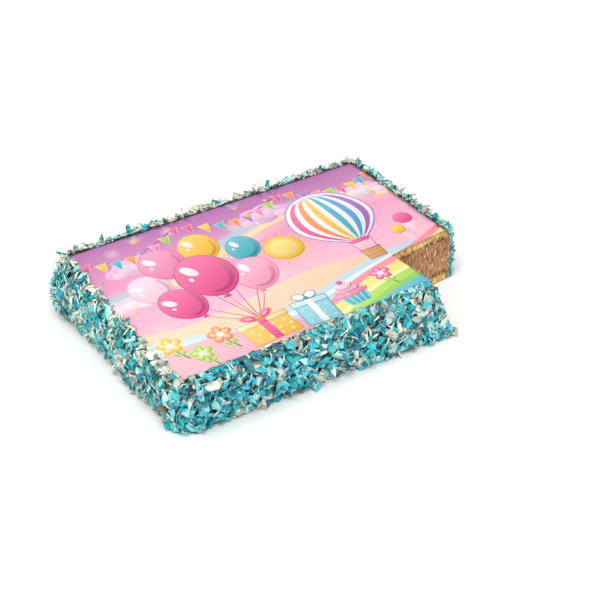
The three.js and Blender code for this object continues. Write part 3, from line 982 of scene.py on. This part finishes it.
def make_flakes():
    random = np.random.default_rng(SEED)
    places = [coat_places(FLAKE_COUNT, random), rim_places(RIM_COUNT, random),
              lean_places(LEAN_COUNT, random), cut_end_places(CUT_END_COUNT, random)]
    group = np.repeat(np.arange(len(places)), [len(part[0]) for part in places])
    point, normal, tangent, inset, outward = (np.concatenate(parts) for parts in zip(*places))
    count = len(point)
    on_rim, leaning, cut_end = group == 1, group == 2, group == 3
    shaggy = shagginess(outward)
    shoulder = np.clip((inset - SHOULDER_FROM) / SHOULDER_OVER, 0, 1)
    shapes, half_width, needle = flake_shapes(shaggy, random)
    front, left = outward[:, 1] < -SQUARELY, outward[:, 0] < -SQUARELY
    scale = np.select([on_rim & front, on_rim, cut_end], SCALES, 1 - SHOULDER_SHRINK * shoulder)
    shapes *= scale[:, None, None]

    kind = random.uniform(0, 1, count)
    flat = random.normal(0, math.radians(FLAT_ANGLE), count)
    medium = random.uniform(*map(math.radians, MEDIUM_ANGLES), count)
    steep = random.uniform(*map(math.radians, STEEP_ANGLES), count)
    flat_share = blend(FLAT_SHARE, shaggy) + SHOULDER_FLAT * shoulder * ~front * ~left
    flat_share = np.where(cut_end, 1.0, flat_share)
    flat_share = np.where(needle, np.maximum(flat_share, NEEDLES_FLAT), flat_share)
    tilt = np.where(kind < flat_share, flat, np.where(kind < 1 - blend(STEEP_SHARE, shaggy), medium, steep))
    upright = math.pi / 2 + random.normal(0, UPRIGHT_SPREAD, count)
    stands = random.uniform(0, 1, count) < UPRIGHT_SHARE * shaggy
    spin = np.where(stands, upright, random.uniform(0, 2 * math.pi, count))
    lean = random.uniform(0, 2 * math.pi, count)
    layer = random.uniform(0, 1, count) ** PILE_POWER
    layer = np.where(needle, NEEDLE_LAYER[0] + NEEDLE_LAYER[1] * layer, layer)
    lift = LOWEST_LIFT + PILE * layer * np.where(on_rim, RIM_PILE, 1.0)
    lift += TILT_LIFT * half_width * np.abs(np.sin(tilt))
    lift += shoulder * np.where(front, FRONT_SUNK, random.uniform(*SHOULDER_SUNK, count))
    normal = normal / np.linalg.norm(normal, axis=1)[:, None]
    flakes = turned(shapes, normal, tangent, tilt, spin, lean) + (point + normal * lift[:, None])[:, None]

    rim_top = np.interp(point[:, 0], *np.transpose(FRONT_RIM_TOPS)) + RIM_PILE_TOP * layer
    sink = np.where(front, np.maximum(0, flakes[:, :, 2].max(axis=1) - rim_top), 0)
    flakes[:, :, 2] -= sink[:, None]
    bare = noise_at(point + SEED, BARE_SIZE) > BARE_FROM
    over_limit = random.uniform(0, np.where(left, OVER_LEFT, OVER_PRINT), count)
    over_limit = np.select([bare & left, front], [OVER_BARE, OVER_FRONT], over_limit)
    flakes, moved, lifted, afloat = clear_of_print(flakes, over_limit)
    ragged = np.where(leaning, random.uniform(*LEAN_RAGGED, count), random.uniform(*CUT_RAGGED, count))
    flakes, back = clear_of_cut(flakes, ragged)
    flakes[:, :, 2] += np.maximum(0, FLOOR_CLEAR - flakes[:, :, 2].min(axis=1))[:, None]
    keep = (moved < MOST_MOVED) & (back < MOST_MOVED) & ~afloat
    keep &= lifted < np.where(left, MOST_LIFTED_LEFT, MOST_LIFTED)
    keep &= (random.uniform(0, 1, count) < KEPT_SHARE) | (group > 0)
    keep &= ~(bare & (inset > BARE_INSET) & ~front)
    blue, tint = flake_colours(point, shoulder, front, left, shaggy, needle, random)

    edge = np.repeat([1.0, 0.0, 0.0, 1.0], [FLAKE_CORNERS, FLAKE_CORNERS, 1, 1])
    for name, chosen, *colours in (("blue_flakes", blue, BLUES, OTHER_BLUES, BLUE_DEPTH_SHADE),
                                   ("white_flakes", ~blue, WHITES, OTHER_WHITES, WHITE_DEPTH_SHADE)):
        material = flake_material(name, *colours)
        chosen = np.flatnonzero(chosen & keep)
        size = flakes.shape[1]
        faces = flake_faces()[None] + (np.arange(len(chosen)) * size)[:, None, None]
        piece = put(name, flakes[chosen].reshape(-1, 3), faces.reshape(-1, 3).tolist(), material, smooth=True)
        own = np.repeat([tint[chosen], 1 - layer[chosen]], size, axis=1)
        for attribute, values in zip(("tint", "sunk", "edge"), (*own, np.tile(edge, len(chosen)))):
            piece.data.attributes.new(attribute, "FLOAT", "POINT").data.foreach_set("value", values)
        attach(piece, "root")


# Sponges and filling, whose cut walls have relief

WALL_STEP = 0.45
WALL_FADE = 1.5
LAYER_GAP = 0.02
PORE_SIZE = 2.0
PORE_REACH = 0.45
PORE_DEPTH = 0.9
PORE_POWER = 1.5
CRUMB_SIZE = 1.7
CRUMB_DEPTH = 0.45
CRUMB_FRACTAL = (0.6, 2.1, 3)
STREAK_WIDTH = 0.9
STREAK_HEIGHT = 7.0
STREAK_DEPTH = 0.6
STREAK_FRACTAL = (0.7, 2.0, 3)
DENT_SIZE = 8.0
DENT_DEPTH = 0.5
FILLING_SUNK = 0.25

# Waves of the filling's lower and upper level, two each: length, depth and place in the noise
LEVEL_WAVES = (((13, 0.7, 1.0), (4, 0.3, 5.0)), ((12, 0.7, 9.0), (4, 0.4, 14.0)))


def sponge_relief(x, y, z):
    """How far the sponge's cut wall stands out: pores and crumbs."""
    distance = noise.voronoi(Vector((x, y, z)) / PORE_SIZE)[0][0]
    pore = max(0.0, 1 - distance / PORE_REACH)
    crumb = noise.fractal(Vector((x, y, z)) / CRUMB_SIZE, *CRUMB_FRACTAL)
    return CRUMB_DEPTH * crumb - PORE_DEPTH * pore ** PORE_POWER


def filling_relief(x, y, z):
    """How far the filling's cut wall stands out: upright streaks and shallow dents."""
    place = Vector((x / STREAK_WIDTH, y / STREAK_WIDTH, z / STREAK_HEIGHT))
    streak = noise.fractal(place, *STREAK_FRACTAL)
    dent = noise.noise(Vector((x, y, z)) / DENT_SIZE)
    return STREAK_DEPTH * streak + DENT_DEPTH * min(0.0, dent) - FILLING_SUNK


def settled(x, y, level):
    """Height of a level of the layers, which meet in slightly wavy lines."""
    lower, upper = (sum(depth * noise.noise(Vector((x / length, y / length, place)))
                        for length, depth, place in waves) for waves in LEVEL_WAVES)
    levels = (0.0, BOTTOM_SPONGE_TOP, FILLING_TOP, TOP_SPONGE_TOP)
    return level + float(np.interp(level, levels, (0.0, lower, upper, 0.0)))


def reach_to_side(direction, side, inset):
    """Distance from the cut's corner along a wall to a side of the outline, set in from it."""
    normal = SIDE_NORMALS[side]
    return ((COAT_CORNERS[side] - CUT_CORNER) @ normal - inset) / (direction @ normal)


def layer_ring(inset, height, relief, counts):
    """One ring of a layer: out along the second wall, round the outline, back along the first wall."""
    walls = []
    for direction, facing, side, count in (
        (CUT_RIGHT, CUT_FRONT, 1, counts[1]),
        (CUT_FRONT, CUT_RIGHT, 0, counts[0]),
    ):
        reach = reach_to_side(direction, side, inset)
        distances = np.linspace(0, reach, count + 1)
        ring = CUT_CORNER + direction * distances[:, None]
        for distance, point in zip(distances, ring):
            fade = min(1.0, distance / WALL_FADE, (reach - distance) / WALL_FADE)
            point += facing * relief(*point, height) * fade
        walls.append(ring)
    centres, normals = spine(OUTLINE_SPACING)
    outline = centres + normals * (CORNER_RADIUS - inset)
    kept = np.flatnonzero(depth_in_cut(outline) <= -OUTLINE_SPACING / 2)
    start = np.flatnonzero(np.diff(kept) > 1)[0] + 1 if (np.diff(kept) > 1).any() else 0
    outline = outline[np.roll(kept, -start)]
    ring = np.concatenate([walls[0], outline, walls[1][:0:-1]])
    return np.column_stack([ring, [settled(x, y, height) for x, y in ring]])


def wall_counts():
    reaches = (reach_to_side(CUT_FRONT, 0, COAT_THICKNESS), reach_to_side(CUT_RIGHT, 1, COAT_THICKNESS))
    return [round(reach / WALL_STEP) for reach in reaches]


def make_layer(name, node, material, rows, relief):
    """A layer from rows of inset and height, with its cut walls in relief."""
    counts = wall_counts()
    rings = [layer_ring(inset, height, relief, counts) for inset, height in rows]
    piece = put(name, *loft(rings), material, smooth=False)
    levels = piece.data.attributes.new("level", "FLOAT", "POINT").data
    levels.foreach_set("value", np.repeat([height for _, height in rows], len(rings[0])))
    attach(piece, "root")
    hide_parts(node)


def straight_rows(bottom, top):
    steps = round((top - bottom) / WALL_STEP)
    return [(COAT_THICKNESS, height) for height in np.linspace(bottom, top, steps + 1)]


def make_layers():
    make_layer("sponge_bottom", "bottom_sponge",
               sponge_material("sponge_bottom", 0, BOTTOM_SPONGE_TOP),
               straight_rows(0.0, BOTTOM_SPONGE_TOP - LAYER_GAP), sponge_relief)
    make_layer("filling_cream", "filling", filling_material(),
               straight_rows(BOTTOM_SPONGE_TOP, FILLING_TOP - LAYER_GAP), filling_relief)
    shoulder = TOP_SPONGE_TOP - SHOULDER_RADIUS
    rows = straight_rows(FILLING_TOP, shoulder)
    arc_steps = round(SHOULDER_RADIUS * math.pi / 2 / WALL_STEP)
    for angle in np.linspace(0, math.pi / 2, arc_steps + 1)[1:]:
        inset = SHOULDER_RADIUS * (1 - math.cos(angle))
        rows.append((COAT_THICKNESS + inset, shoulder + SHOULDER_RADIUS * math.sin(angle)))
    make_layer("sponge_top", "top_sponge",
               sponge_material("sponge_top", TOP_SPONGE_TOP, FILLING_TOP), rows, sponge_relief)


# Printed sheet, whose motifs are plain outlines in millimetres or in shares of a motif's size

HOT_PINK, PINK, CANDY, PALE_PINK, WINE = "#ee4f93", "#f78fb9", "#f9a8c6", "#fbd3e3", "#c43a7c"
YELLOW, GOLD, AMBER, ORANGE, BROWN = "#fbc72d", "#f7c64a", "#e09a20", "#f8923c", "#b9772d"
TEAL, BLUE, SKY, PALE_BLUE, DEEP_TEAL = "#35b6c4", "#45a5dc", "#8cd3e0", "#c3e1ee", "#23899a"
PURPLE, LIME, GREEN, WHITE = "#a86cc0", "#a5d52c", "#4caf45", "#fdf6f8"
MOTIF_EDGE = 0.8
PETALS = 5
SHEET_FRONT = -SHEET_HALF[1] - 3

# Layout of the sheet: clouds with their places, sizes and two colours; lines of flags with their sag;
# fields across the sheet and at its right with their drops; confetti's room
CLOUDS = (
    (-98, 50, 17, "#f0b4d8", "#f7c9e2"), (26, 60, 17, "#edb2dc", "#f6c8e6"),
    (118, 46, 16, "#f6c8de", "#fcdeea"), (-128, 4, 13, "#f9cfe0", "#fde4ec"),
)
GARLANDS = (((-142, 78), (-45, 88), 17), ((-45, 88), (55, 86), 18), ((55, 86), (142, 76), 15))
FLAG_COLOURS = (HOT_PINK, YELLOW, TEAL, ORANGE, PURPLE, PINK, LIME)
SHEET_ENDS = (-142, 142)
FAR_FIELD, LEFT_FIELD = "#f9d2b0", "#f7b6c3"
WIDE_FIELDS = ((PALE_BLUE, 0.0), (WHITE, 6.5), ("#b9dcee", 11.0), (WHITE, 17.5), ("#f8b7c6", 21.0))
RIGHT_FIELDS = (
    ("#f7818c", 0.0), ("#fbdc62", 7.0), ("#f5ee9a", 17.0), (LIME, 21.0), ("#7cc61d", 29.0), (TEAL, 34.0),
    (BLUE, 42.0),
)
CONFETTI_COUNT = 44
CONFETTI_ROOM = ((-132, -8), (132, 84))
CONFETTI_COLOURS = (YELLOW, WHITE, HOT_PINK, "#fbe27a", TEAL)

# The bunch of balloons: place, size, two colours and turn of each, and where their strings meet
BUNCH = (
    (-104, 16, 20, PALE_PINK, "#e99cbe", 0.3), (-14, 28, 17, TEAL, DEEP_TEAL, -0.25),
    (-80, 42, 22, PINK, "#e0608f", 0.15), (-44, 48, 20, YELLOW, AMBER, -0.1),
    (-92, -14, 21, HOT_PINK, WINE, 0.3), (-24, -8, 22, CANDY, "#e2749b", -0.3),
    (-58, 10, 29, HOT_PINK, WINE, 0.0),
)
BUNCH_TIE = (-52, -62)
STRING = "#c05a92"
FLOWERS = ((-126, -54, 10, YELLOW), (-110, -74, 9, LIME), (-88, -62, 10, ORANGE), (58, -62, 9, HOT_PINK))

# Shading of each motif: which way it lightens, its darkest share, and how far towards white it goes
SHADE_TOWARD = np.array([-0.45, 0.9])
DARKEST = 0.74
LIGHTEST = 0.14

# The sheet's mesh: steps of its edge and grid, merging distance, gap under it and waves, with length,
# place in the noise and depth, and the colour of its cut, then the dark painted shade on its front edge and
# underside
EDGE_STEP = 3.0
GRID_STEP = 9.0
GRID_MARGIN = 5.0
MERGE_WITHIN = 1e-4
SHEET_GAP = 0.03
SHEET_WAVES = (45, 3.0, 0.22)
EDGE_LIGHT, FRONT_AND_UNDER_SHADE = "#b98d6c", "#4d3a35"


def ellipse(x, y, radius_x, radius_y, turn=0.0, points=36):
    angles = np.linspace(0, 2 * math.pi, points, endpoint=False)
    shape = np.column_stack([radius_x * np.cos(angles), radius_y * np.sin(angles)])
    return spun(shape, turn) + (x, y)


def spun(shape, turn):
    cos_turn, sin_turn = math.cos(turn), math.sin(turn)
    return np.asarray(shape, float) @ np.array([[cos_turn, sin_turn], [-sin_turn, cos_turn]])


def band(line, width):
    """A stripe on a line of points."""
    line = np.asarray(line, float)
    along = np.gradient(line, axis=0)
    across = np.column_stack([-along[:, 1], along[:, 0]])
    across /= np.linalg.norm(across, axis=1)[:, None]
    return np.concatenate([line + across * (width / 2), (line - across * (width / 2))[::-1]])


def arch(start, end, sag, points=25):
    """A sagging line between two places."""
    share = np.linspace(0, 1, points)[:, None]
    line = np.asarray(start) + (np.asarray(end) - np.asarray(start)) * share
    line[:, 1] -= 4 * sag * (share * (1 - share))[:, 0]
    return line


def placed(shapes, x, y, turn=0.0):
    """Shapes drawn about the origin, turned and moved to their place."""
    return [(spun(outline, turn) + (x, y), colour) for outline, colour in shapes]


def rectangle(left, bottom, right, top):
    return np.array([(left, bottom), (right, bottom), (right, top), (left, top)], float)


def balloon_body(size):
    angles = np.linspace(0, 2 * math.pi, 40, endpoint=False)
    narrow = 1 - 0.16 * np.maximum(0, -np.sin(angles)) ** 2
    return np.column_stack([0.82 * size * np.cos(angles) * narrow, size * np.sin(angles)])


def balloon(size, colour, dark):
    """A toy balloon: rim, knot, body, shaded side and highlights."""
    angles = np.linspace(-1.9, 0.5, 16)
    outer = np.column_stack([0.72 * size * np.cos(angles), 0.86 * size * np.sin(angles)])
    inner = np.column_stack([0.55 * size * np.cos(angles), 0.74 * size * np.sin(angles)])
    inner[0], inner[-1] = outer[0] * 0.99, outer[-1] * 0.99
    knot = [(0, -0.96 * size), (-0.14 * size, -1.18 * size), (0.14 * size, -1.18 * size)]
    return [
        (balloon_body(size * 1.045), dark),
        (np.array(knot), dark),
        (balloon_body(size), colour),
        (np.concatenate([outer, inner[::-1]]), dark),
        (ellipse(-0.33 * size, 0.4 * size, 0.16 * size, 0.3 * size, 0.5, 20), WHITE),
        (ellipse(-0.46 * size, 0.02 * size, 0.06 * size, 0.09 * size, 0.3, 12), WHITE),
    ]


def flower(size, petal, middle):
    """A flower with two-coloured petals, a stem and two leaves."""
    stem = [(0, 0), (size * 0.15, -size), (size * 0.6, -size * 2.1)]
    shapes = [(band(stem, size * 0.16), GREEN)]
    for side, turn in ((1, 0.5), (-1, 2.4)):
        leaf = (size * (0.2 + 0.32 * side), -size * 1.25)
        shapes.append((ellipse(*leaf, size * 0.36, size * 0.15, turn, 14), LIME))
    for reach, radius, colour in ((0.6, 0.46, petal), (0.52, 0.26, lighter(petal))):
        for turn in np.arange(PETALS) * 2 * math.pi / PETALS + 0.3:
            place = (size * reach * math.cos(turn), size * reach * math.sin(turn))
            shapes.append((ellipse(*place, size * radius, size * radius * 0.85, turn, 18), colour))
    shapes.append((ellipse(0, 0, size * 0.3, size * 0.3, 0, 14), middle))
    return shapes


def lighter(colour):
    """A lighter colour of the same kind, halfway to white."""
    values = [int(colour[start:start + 2], 16) for start in (1, 3, 5)]
    return "#" + "".join(f"{(value + 255) // 2:02x}" for value in values)


def star(size, colour):
    angles = np.arange(10) * math.pi / 5 + math.pi / 2
    reach = np.where(np.arange(10) % 2, 0.45, 1.0) * size
    return [(np.column_stack([reach * np.cos(angles), reach * np.sin(angles)]), colour)]


def cloud(size, colour, light):
    """A cloud of puffs, with lighter ones in front."""
    puffs = [(-1.1, 0.0, 0.55), (-0.45, 0.32, 0.72), (0.35, 0.38, 0.8), (1.05, 0.05, 0.6), (0.0, -0.1, 0.75)]
    shapes = [(ellipse(dx * size, dy * size, r * size, r * size * 0.75), colour) for dx, dy, r in puffs]
    for dx, dy, r in puffs[:4]:
        place = (dx * size * 0.9, dy * size - 0.22 * size)
        shapes.append((ellipse(*place, r * size * 0.72, r * size * 0.5), light))
    return shapes


def gift(width, height, box, ribbon, dark):
    """A wrapped box with dots, a lid, a ribbon and a bow."""
    half, band_half = width / 2, width * 0.09
    lid = height * 0.22
    shapes = [
        (rectangle(-half - MOTIF_EDGE, -MOTIF_EDGE, half + MOTIF_EDGE, height + MOTIF_EDGE), dark),
        (rectangle(-half, 0, half, height), box),
    ]
    for row in range(3):
        for column in range(4):
            place = ((column - 1.5 + 0.25 * (row % 2)) * width * 0.24, (row + 0.6) * height * 0.24)
            shapes.append((ellipse(*place, width * 0.035, width * 0.035, 0, 10), lighter(box)))
    shapes += [
        (rectangle(-band_half, 0, band_half, height), ribbon),
        (rectangle(-half * 1.12, height - lid, half * 1.12, height + MOTIF_EDGE), dark),
        (rectangle(-half * 1.08, height - lid + MOTIF_EDGE, half * 1.08, height), lighter(box)),
        (rectangle(-band_half, height - lid, band_half, height), ribbon),
    ]
    for side in (-1, 1):
        loop = (side * width * 0.18, height + lid * 0.75)
        shapes.append((ellipse(*loop, width * 0.2, height * 0.15, side * 0.5, 22), dark))
        shapes.append((ellipse(*loop, width * 0.17, height * 0.12, side * 0.5, 20), ribbon))
        shapes.append((ellipse(*loop, width * 0.08, height * 0.05, side * 0.5, 14), lighter(ribbon)))
    return shapes + [(ellipse(0, height + lid * 0.3, width * 0.07, height * 0.08, 0, 14), dark)]


def cupcake(size):
    """A small cake in a pleated cup, with three rolls of icing and sprinkles."""
    shapes = [(np.array([(-0.55, 0), (0.55, 0), (0.78, 0.75), (-0.78, 0.75)]) * size, TEAL)]
    for pleat in np.linspace(-0.5, 0.5, 5):
        line = [(pleat * size, 0), (pleat * 1.36 * size, 0.75 * size)]
        shapes.append((band(line, size * 0.07), "#a9e2e6"))
    for height, radius, colour in ((0.88, 0.86, PINK), (1.2, 0.64, CANDY), (1.49, 0.4, PALE_PINK)):
        rim = (height - 0.03, radius + 0.04)
        for place, reach, ink in ((*rim, WINE), (height, radius, colour)):
            shapes.append((ellipse(0, place * size, reach * size, 0.24 * size), ink))
    for index, colour in enumerate((YELLOW, TEAL, WHITE, LIME, YELLOW, WHITE, BLUE)):
        place = ((index - 3) * 0.2 * size, (0.86 + 0.28 * (index % 2)) * size)
        shapes.append((ellipse(*place, 0.07 * size, 0.03 * size, index, 8), colour))
    return shapes + [(ellipse(0, 1.78 * size, 0.17 * size, 0.17 * size, 0, 18), HOT_PINK)]


def lollipop(size, colour, light):
    """A round sweet on a stick, with a wound stripe."""
    angles = np.linspace(0.3, 4.6 * math.pi, 48)
    wound = np.column_stack([np.cos(angles), np.sin(angles)]) * (size * 0.88 * angles / angles[-1])[:, None]
    return [
        (rectangle(-0.08 * size, -2.9 * size, 0.08 * size, -0.9 * size), WHITE),
        (ellipse(0, 0, size * 1.05, size * 1.05), WINE),
        (ellipse(0, 0, size, size), colour),
        (band(wound, size * 0.13), light),
    ]


def bunting():
    """A garland of small flags along the back."""
    shapes = []
    for start, end, sag in GARLANDS:
        line = arch(start, end, sag)
        shapes.append((band(line, 1.1), WINE))
        for index, place in enumerate(line[2:-1:3]):
            colour = FLAG_COLOURS[(index + 3 * (start[0] > 0)) % len(FLAG_COLOURS)]
            shapes.append((np.array([(-5.2, 0.4), (5.2, 0.4), (0, -13.8)]) + place, lighter(colour)))
            shapes.append((np.array([(-4.2, 0), (4.2, 0), (0, -11.5)]) + place, colour))
    return shapes


def air_balloon(size):
    """A white passenger balloon with curved stripes, a skirt and a basket."""
    angles = np.linspace(0, 2 * math.pi, 48, endpoint=False)
    narrow = np.where(np.sin(angles) < 0, 1 - 0.45 * np.sin(angles) ** 2, 1.0)
    body = np.column_stack([size * np.cos(angles) * narrow, size * 1.12 * np.sin(angles)])
    shapes = [(body * 1.03, PURPLE), (body, WHITE)]
    share = np.linspace(-1, 1, 15)
    tall = 1.09 * size * share
    waist = np.sqrt(np.maximum(0, 1 - share ** 2)) * np.where(share < 0, 1 - 0.45 * share ** 2, 1.0)
    stripes = ((-0.8, HOT_PINK), (-0.48, ORANGE), (-0.16, YELLOW), (0.16, TEAL), (0.48, BLUE), (0.8, PURPLE))
    for place, colour in stripes:
        left = np.column_stack([(place - 0.085) * size * waist, tall])
        right = np.column_stack([(place + 0.085) * size * waist, tall])
        shapes.append((np.concatenate([left, right[::-1]]), colour))
    for side in (-1, 1):
        rope = [(side * size * 0.3, -size * 1.02), (side * size * 0.2, -size * 1.5)]
        shapes.append((band(rope, 0.9), PURPLE))
    skirt = np.array([(-0.3, -1.02), (0.3, -1.02), (0.22, -1.16), (-0.22, -1.16)]) * size
    basket = np.array([(-0.24, -1.5), (0.24, -1.5), (0.2, -1.85), (-0.2, -1.85)]) * size
    shapes += [(skirt, HOT_PINK), (basket * (1.08, 1.01), "#8f5a22"), (basket, "#e0a04a")]
    for row in (-1.6, -1.72):
        shapes.append((rectangle(-0.22 * size, row * size, 0.22 * size, (row + 0.03) * size), BROWN))
    return shapes + [(rectangle(-0.27 * size, -1.52 * size, 0.27 * size, -1.46 * size), BROWN)]


def field(x, edge, colour):
    """The ground under a line, down to the front edge."""
    above = edge > SHEET_FRONT
    x, edge = x[above], edge[above]
    return np.concatenate([np.column_stack([x, edge]), [(x[-1], SHEET_FRONT), (x[0], SHEET_FRONT)]]), colour


def hills():
    """Rolling fields along the front: soft ones at the left, candy stripes at the right."""
    wide = np.linspace(*SHEET_ENDS, 60)
    shapes = [field(wide, -36 + 9 * np.sin((wide + 40) / 38) - 0.05 * wide, FAR_FIELD)]
    for colour, drop in WIDE_FIELDS:
        shapes.append(field(wide, -50 - drop + 12 * np.sin((wide - 25) / 46), colour))
    right = np.linspace(-20, SHEET_ENDS[1], 60)
    for colour, drop in RIGHT_FIELDS:
        shapes.append(field(right, -60 - drop + 0.33 * (right - 40) + 3 * np.sin(right / 24), colour))
    left = np.linspace(SHEET_ENDS[0], -10, 30)
    return shapes + [field(left, -70 + 10 * np.cos((left + 120) / 40), LEFT_FIELD)]


def sun(size):
    shapes = []
    for index, turn in enumerate(np.arange(16) * math.pi / 8):
        far = size * (1.55 if index % 2 else 1.35)
        ray = [(size * 1.08, -size * 0.12), (far, 0), (size * 1.08, size * 0.12)]
        shapes.append((spun(ray, turn), YELLOW))
    return shapes + [(ellipse(0, 0, size, size), AMBER), (ellipse(0, 0, size * 0.94, size * 0.94), YELLOW),
                     (ellipse(0, 0, size * 0.7, size * 0.7), "#fddc6e")]


def confetti():
    """Small dots and stars, scattered over the sheet's ground."""
    random = np.random.default_rng(SEED + 1)
    shapes = []
    for index in range(CONFETTI_COUNT):
        place = random.uniform(*CONFETTI_ROOM)
        if index % 3:
            colour = CONFETTI_COLOURS[index % len(CONFETTI_COLOURS)]
            shapes.append((ellipse(*place, 1.4, 1.4, 0, 10), colour))
        else:
            shapes += placed(star(random.uniform(2.6, 4.6), YELLOW), *place, random.uniform(0, 1))
    return shapes


def motifs():
    """Everything drawn on the sheet, the lowest first: pairs of an outline and a colour."""
    shapes = []
    for x, y, size, colour, light in CLOUDS:
        shapes += placed(cloud(size, colour, light), x, y)
    shapes += hills() + bunting() + confetti()
    shapes += placed(sun(17), 14, 10)
    for x, y, size, _, _, turn in BUNCH:
        knot = spun([(0, -1.15 * size)], turn)[0] + (x, y)
        shapes.append((band(arch(knot, BUNCH_TIE, 2, 9), 0.8), STRING))
    for x, y, size, colour, dark, turn in BUNCH:
        shapes += placed(balloon(size, colour, dark), x, y, turn)
    shapes += placed(air_balloon(37), 72, 26)
    shapes += placed(lollipop(8, HOT_PINK, WHITE), 122, -6, -0.12)
    shapes += placed(lollipop(6.5, YELLOW, ORANGE), 108, -18, 0.15)
    shapes += placed(gift(40, 27, GOLD, HOT_PINK, AMBER), -52, -89, 0.05)
    shapes += placed(gift(28, 31, SKY, WHITE, DEEP_TEAL), -12, -91, -0.07)
    shapes += placed(cupcake(17), 24, -86, 0.04)
    for x, y, size, petal in FLOWERS:
        shapes += placed(flower(size, petal, WHITE), x, y)
    return shapes


def sheet_edge():
    """The printed sheet's outline with the cut corner, in short steps."""
    right_reach = (SHEET_HALF[0] - CUT_CORNER[0]) / CUT_RIGHT[0]
    front_reach = (-SHEET_HALF[1] - CUT_CORNER[1]) / CUT_FRONT[1]
    back_right, back_left, front_left = (SHEET_HALF * CORNER_SIGNS[index] for index in (2, 3, 0))
    ends = [CUT_CORNER + CUT_RIGHT * right_reach, back_right, back_left, front_left,
            CUT_CORNER + CUT_FRONT * front_reach, CUT_CORNER]
    edge = []
    for start, end in zip(ends, ends[1:] + ends[:1]):
        steps = max(1, round(np.linalg.norm(end - start) / EDGE_STEP))
        for share in np.arange(steps) / steps:
            edge.append(start + (end - start) * share)
    return np.array(edge)


def shaded(shapes, owner, corners):
    """Colours of a triangle's corners: clear where the ground shows, else from dark to light up its motif."""
    if owner == 0:
        return [(0.0, 0.0, 0.0, 0.0)] * len(corners)
    outline, colour = shapes[owner]
    levels = outline @ SHADE_TOWARD
    base = np.array(linear(colour))
    result = []
    for level in corners @ SHADE_TOWARD:
        share = (level - levels.min()) / (levels.max() - levels.min())
        rgb = base * (DARKEST + (1 - DARKEST) * share) + (1 - base) * LIGHTEST * share
        result.append((*rgb, 1.0))
    return result


def leftward(outline):
    """An outline's points, anticlockwise."""
    x, y = np.asarray(outline).T
    area = x @ np.roll(y, -1) - y @ np.roll(x, -1)
    return outline if area > 0 else outline[::-1]


def make_print():
    shapes = [(sheet_edge(), WHITE)] + motifs()
    points, faces = [], []
    for outline, _ in shapes:
        faces.append(list(range(len(points), len(points) + len(outline))))
        points.extend(Vector(point) for point in leftward(outline))
    for x in np.arange(-SHEET_HALF[0] + GRID_MARGIN, SHEET_HALF[0], GRID_STEP):
        for y in np.arange(-SHEET_HALF[1] + GRID_MARGIN, SHEET_HALF[1], GRID_STEP):
            points.append(Vector((x, y)))
    found, _, triangles, _, _, owners = delaunay_2d_cdt(points, [], faces, 1, MERGE_WITHIN, True)
    inked = []
    for triangle, owner in zip(triangles, owners):
        if 0 in owner:
            inked.append((triangle, max(owner)))
    used = sorted({vertex for triangle, _ in inked for vertex in triangle})
    renumber = {vertex: index for index, vertex in enumerate(used)}
    flat = np.array([found[vertex] for vertex in used])
    count = len(flat)
    length, place, depth = SHEET_WAVES
    wave = np.array([noise.noise(Vector((x / length, y / length, place))) for x, y in flat])
    top = np.column_stack([flat, PRINT_TOP + depth * wave])
    bottom = np.column_stack([flat, np.full(count, TOP_SPONGE_TOP + SHEET_GAP)])
    upper = [tuple(renumber[vertex] for vertex in triangle) for triangle, _ in inked]
    edges = {(a, b) for face in upper for a, b in zip(face, face[1:] + face[:1])}
    rim = [(a, b) for a, b in edges if (b, a) not in edges]
    faces = upper + [tuple(vertex + count for vertex in face[::-1]) for face in upper]
    faces += [(b, a, a + count, b + count) for a, b in rim]
    piece = put("print_top", np.concatenate([top, bottom]), faces, print_material(), smooth=True)
    tops = []
    for (_, owner), face in zip(inked, upper):
        tops += shaded(shapes, owner, flat[list(face)])
    middles = np.array([(top[a, :2] + top[b, :2]) / 2 for a, b in rim])
    in_front = (middles[:, 1] < GAP - SHEET_HALF[1]) & (depth_in_cut(middles) <= -GAP)
    # The sheet's front edge and its underside take a dark painted shade; its other edges take a lighter
    # colour of their own
    light, dark = (*linear(EDGE_LIGHT), 1.0), (*linear(FRONT_AND_UNDER_SHADE), 1.0)
    sides = [dark if front else light for front in in_front for _ in range(4)]
    colours = tops + [dark] * (3 * len(upper)) + sides
    ink = piece.data.color_attributes.new("ink", "FLOAT_COLOR", "CORNER")
    ink.data.foreach_set("color", np.array(colours).ravel())
    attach(piece, "root")
    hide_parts("print_sheet")


set_camera()
set_floor()
set_light()
make_layers()
make_print()
make_coat_cream()
make_flakes()
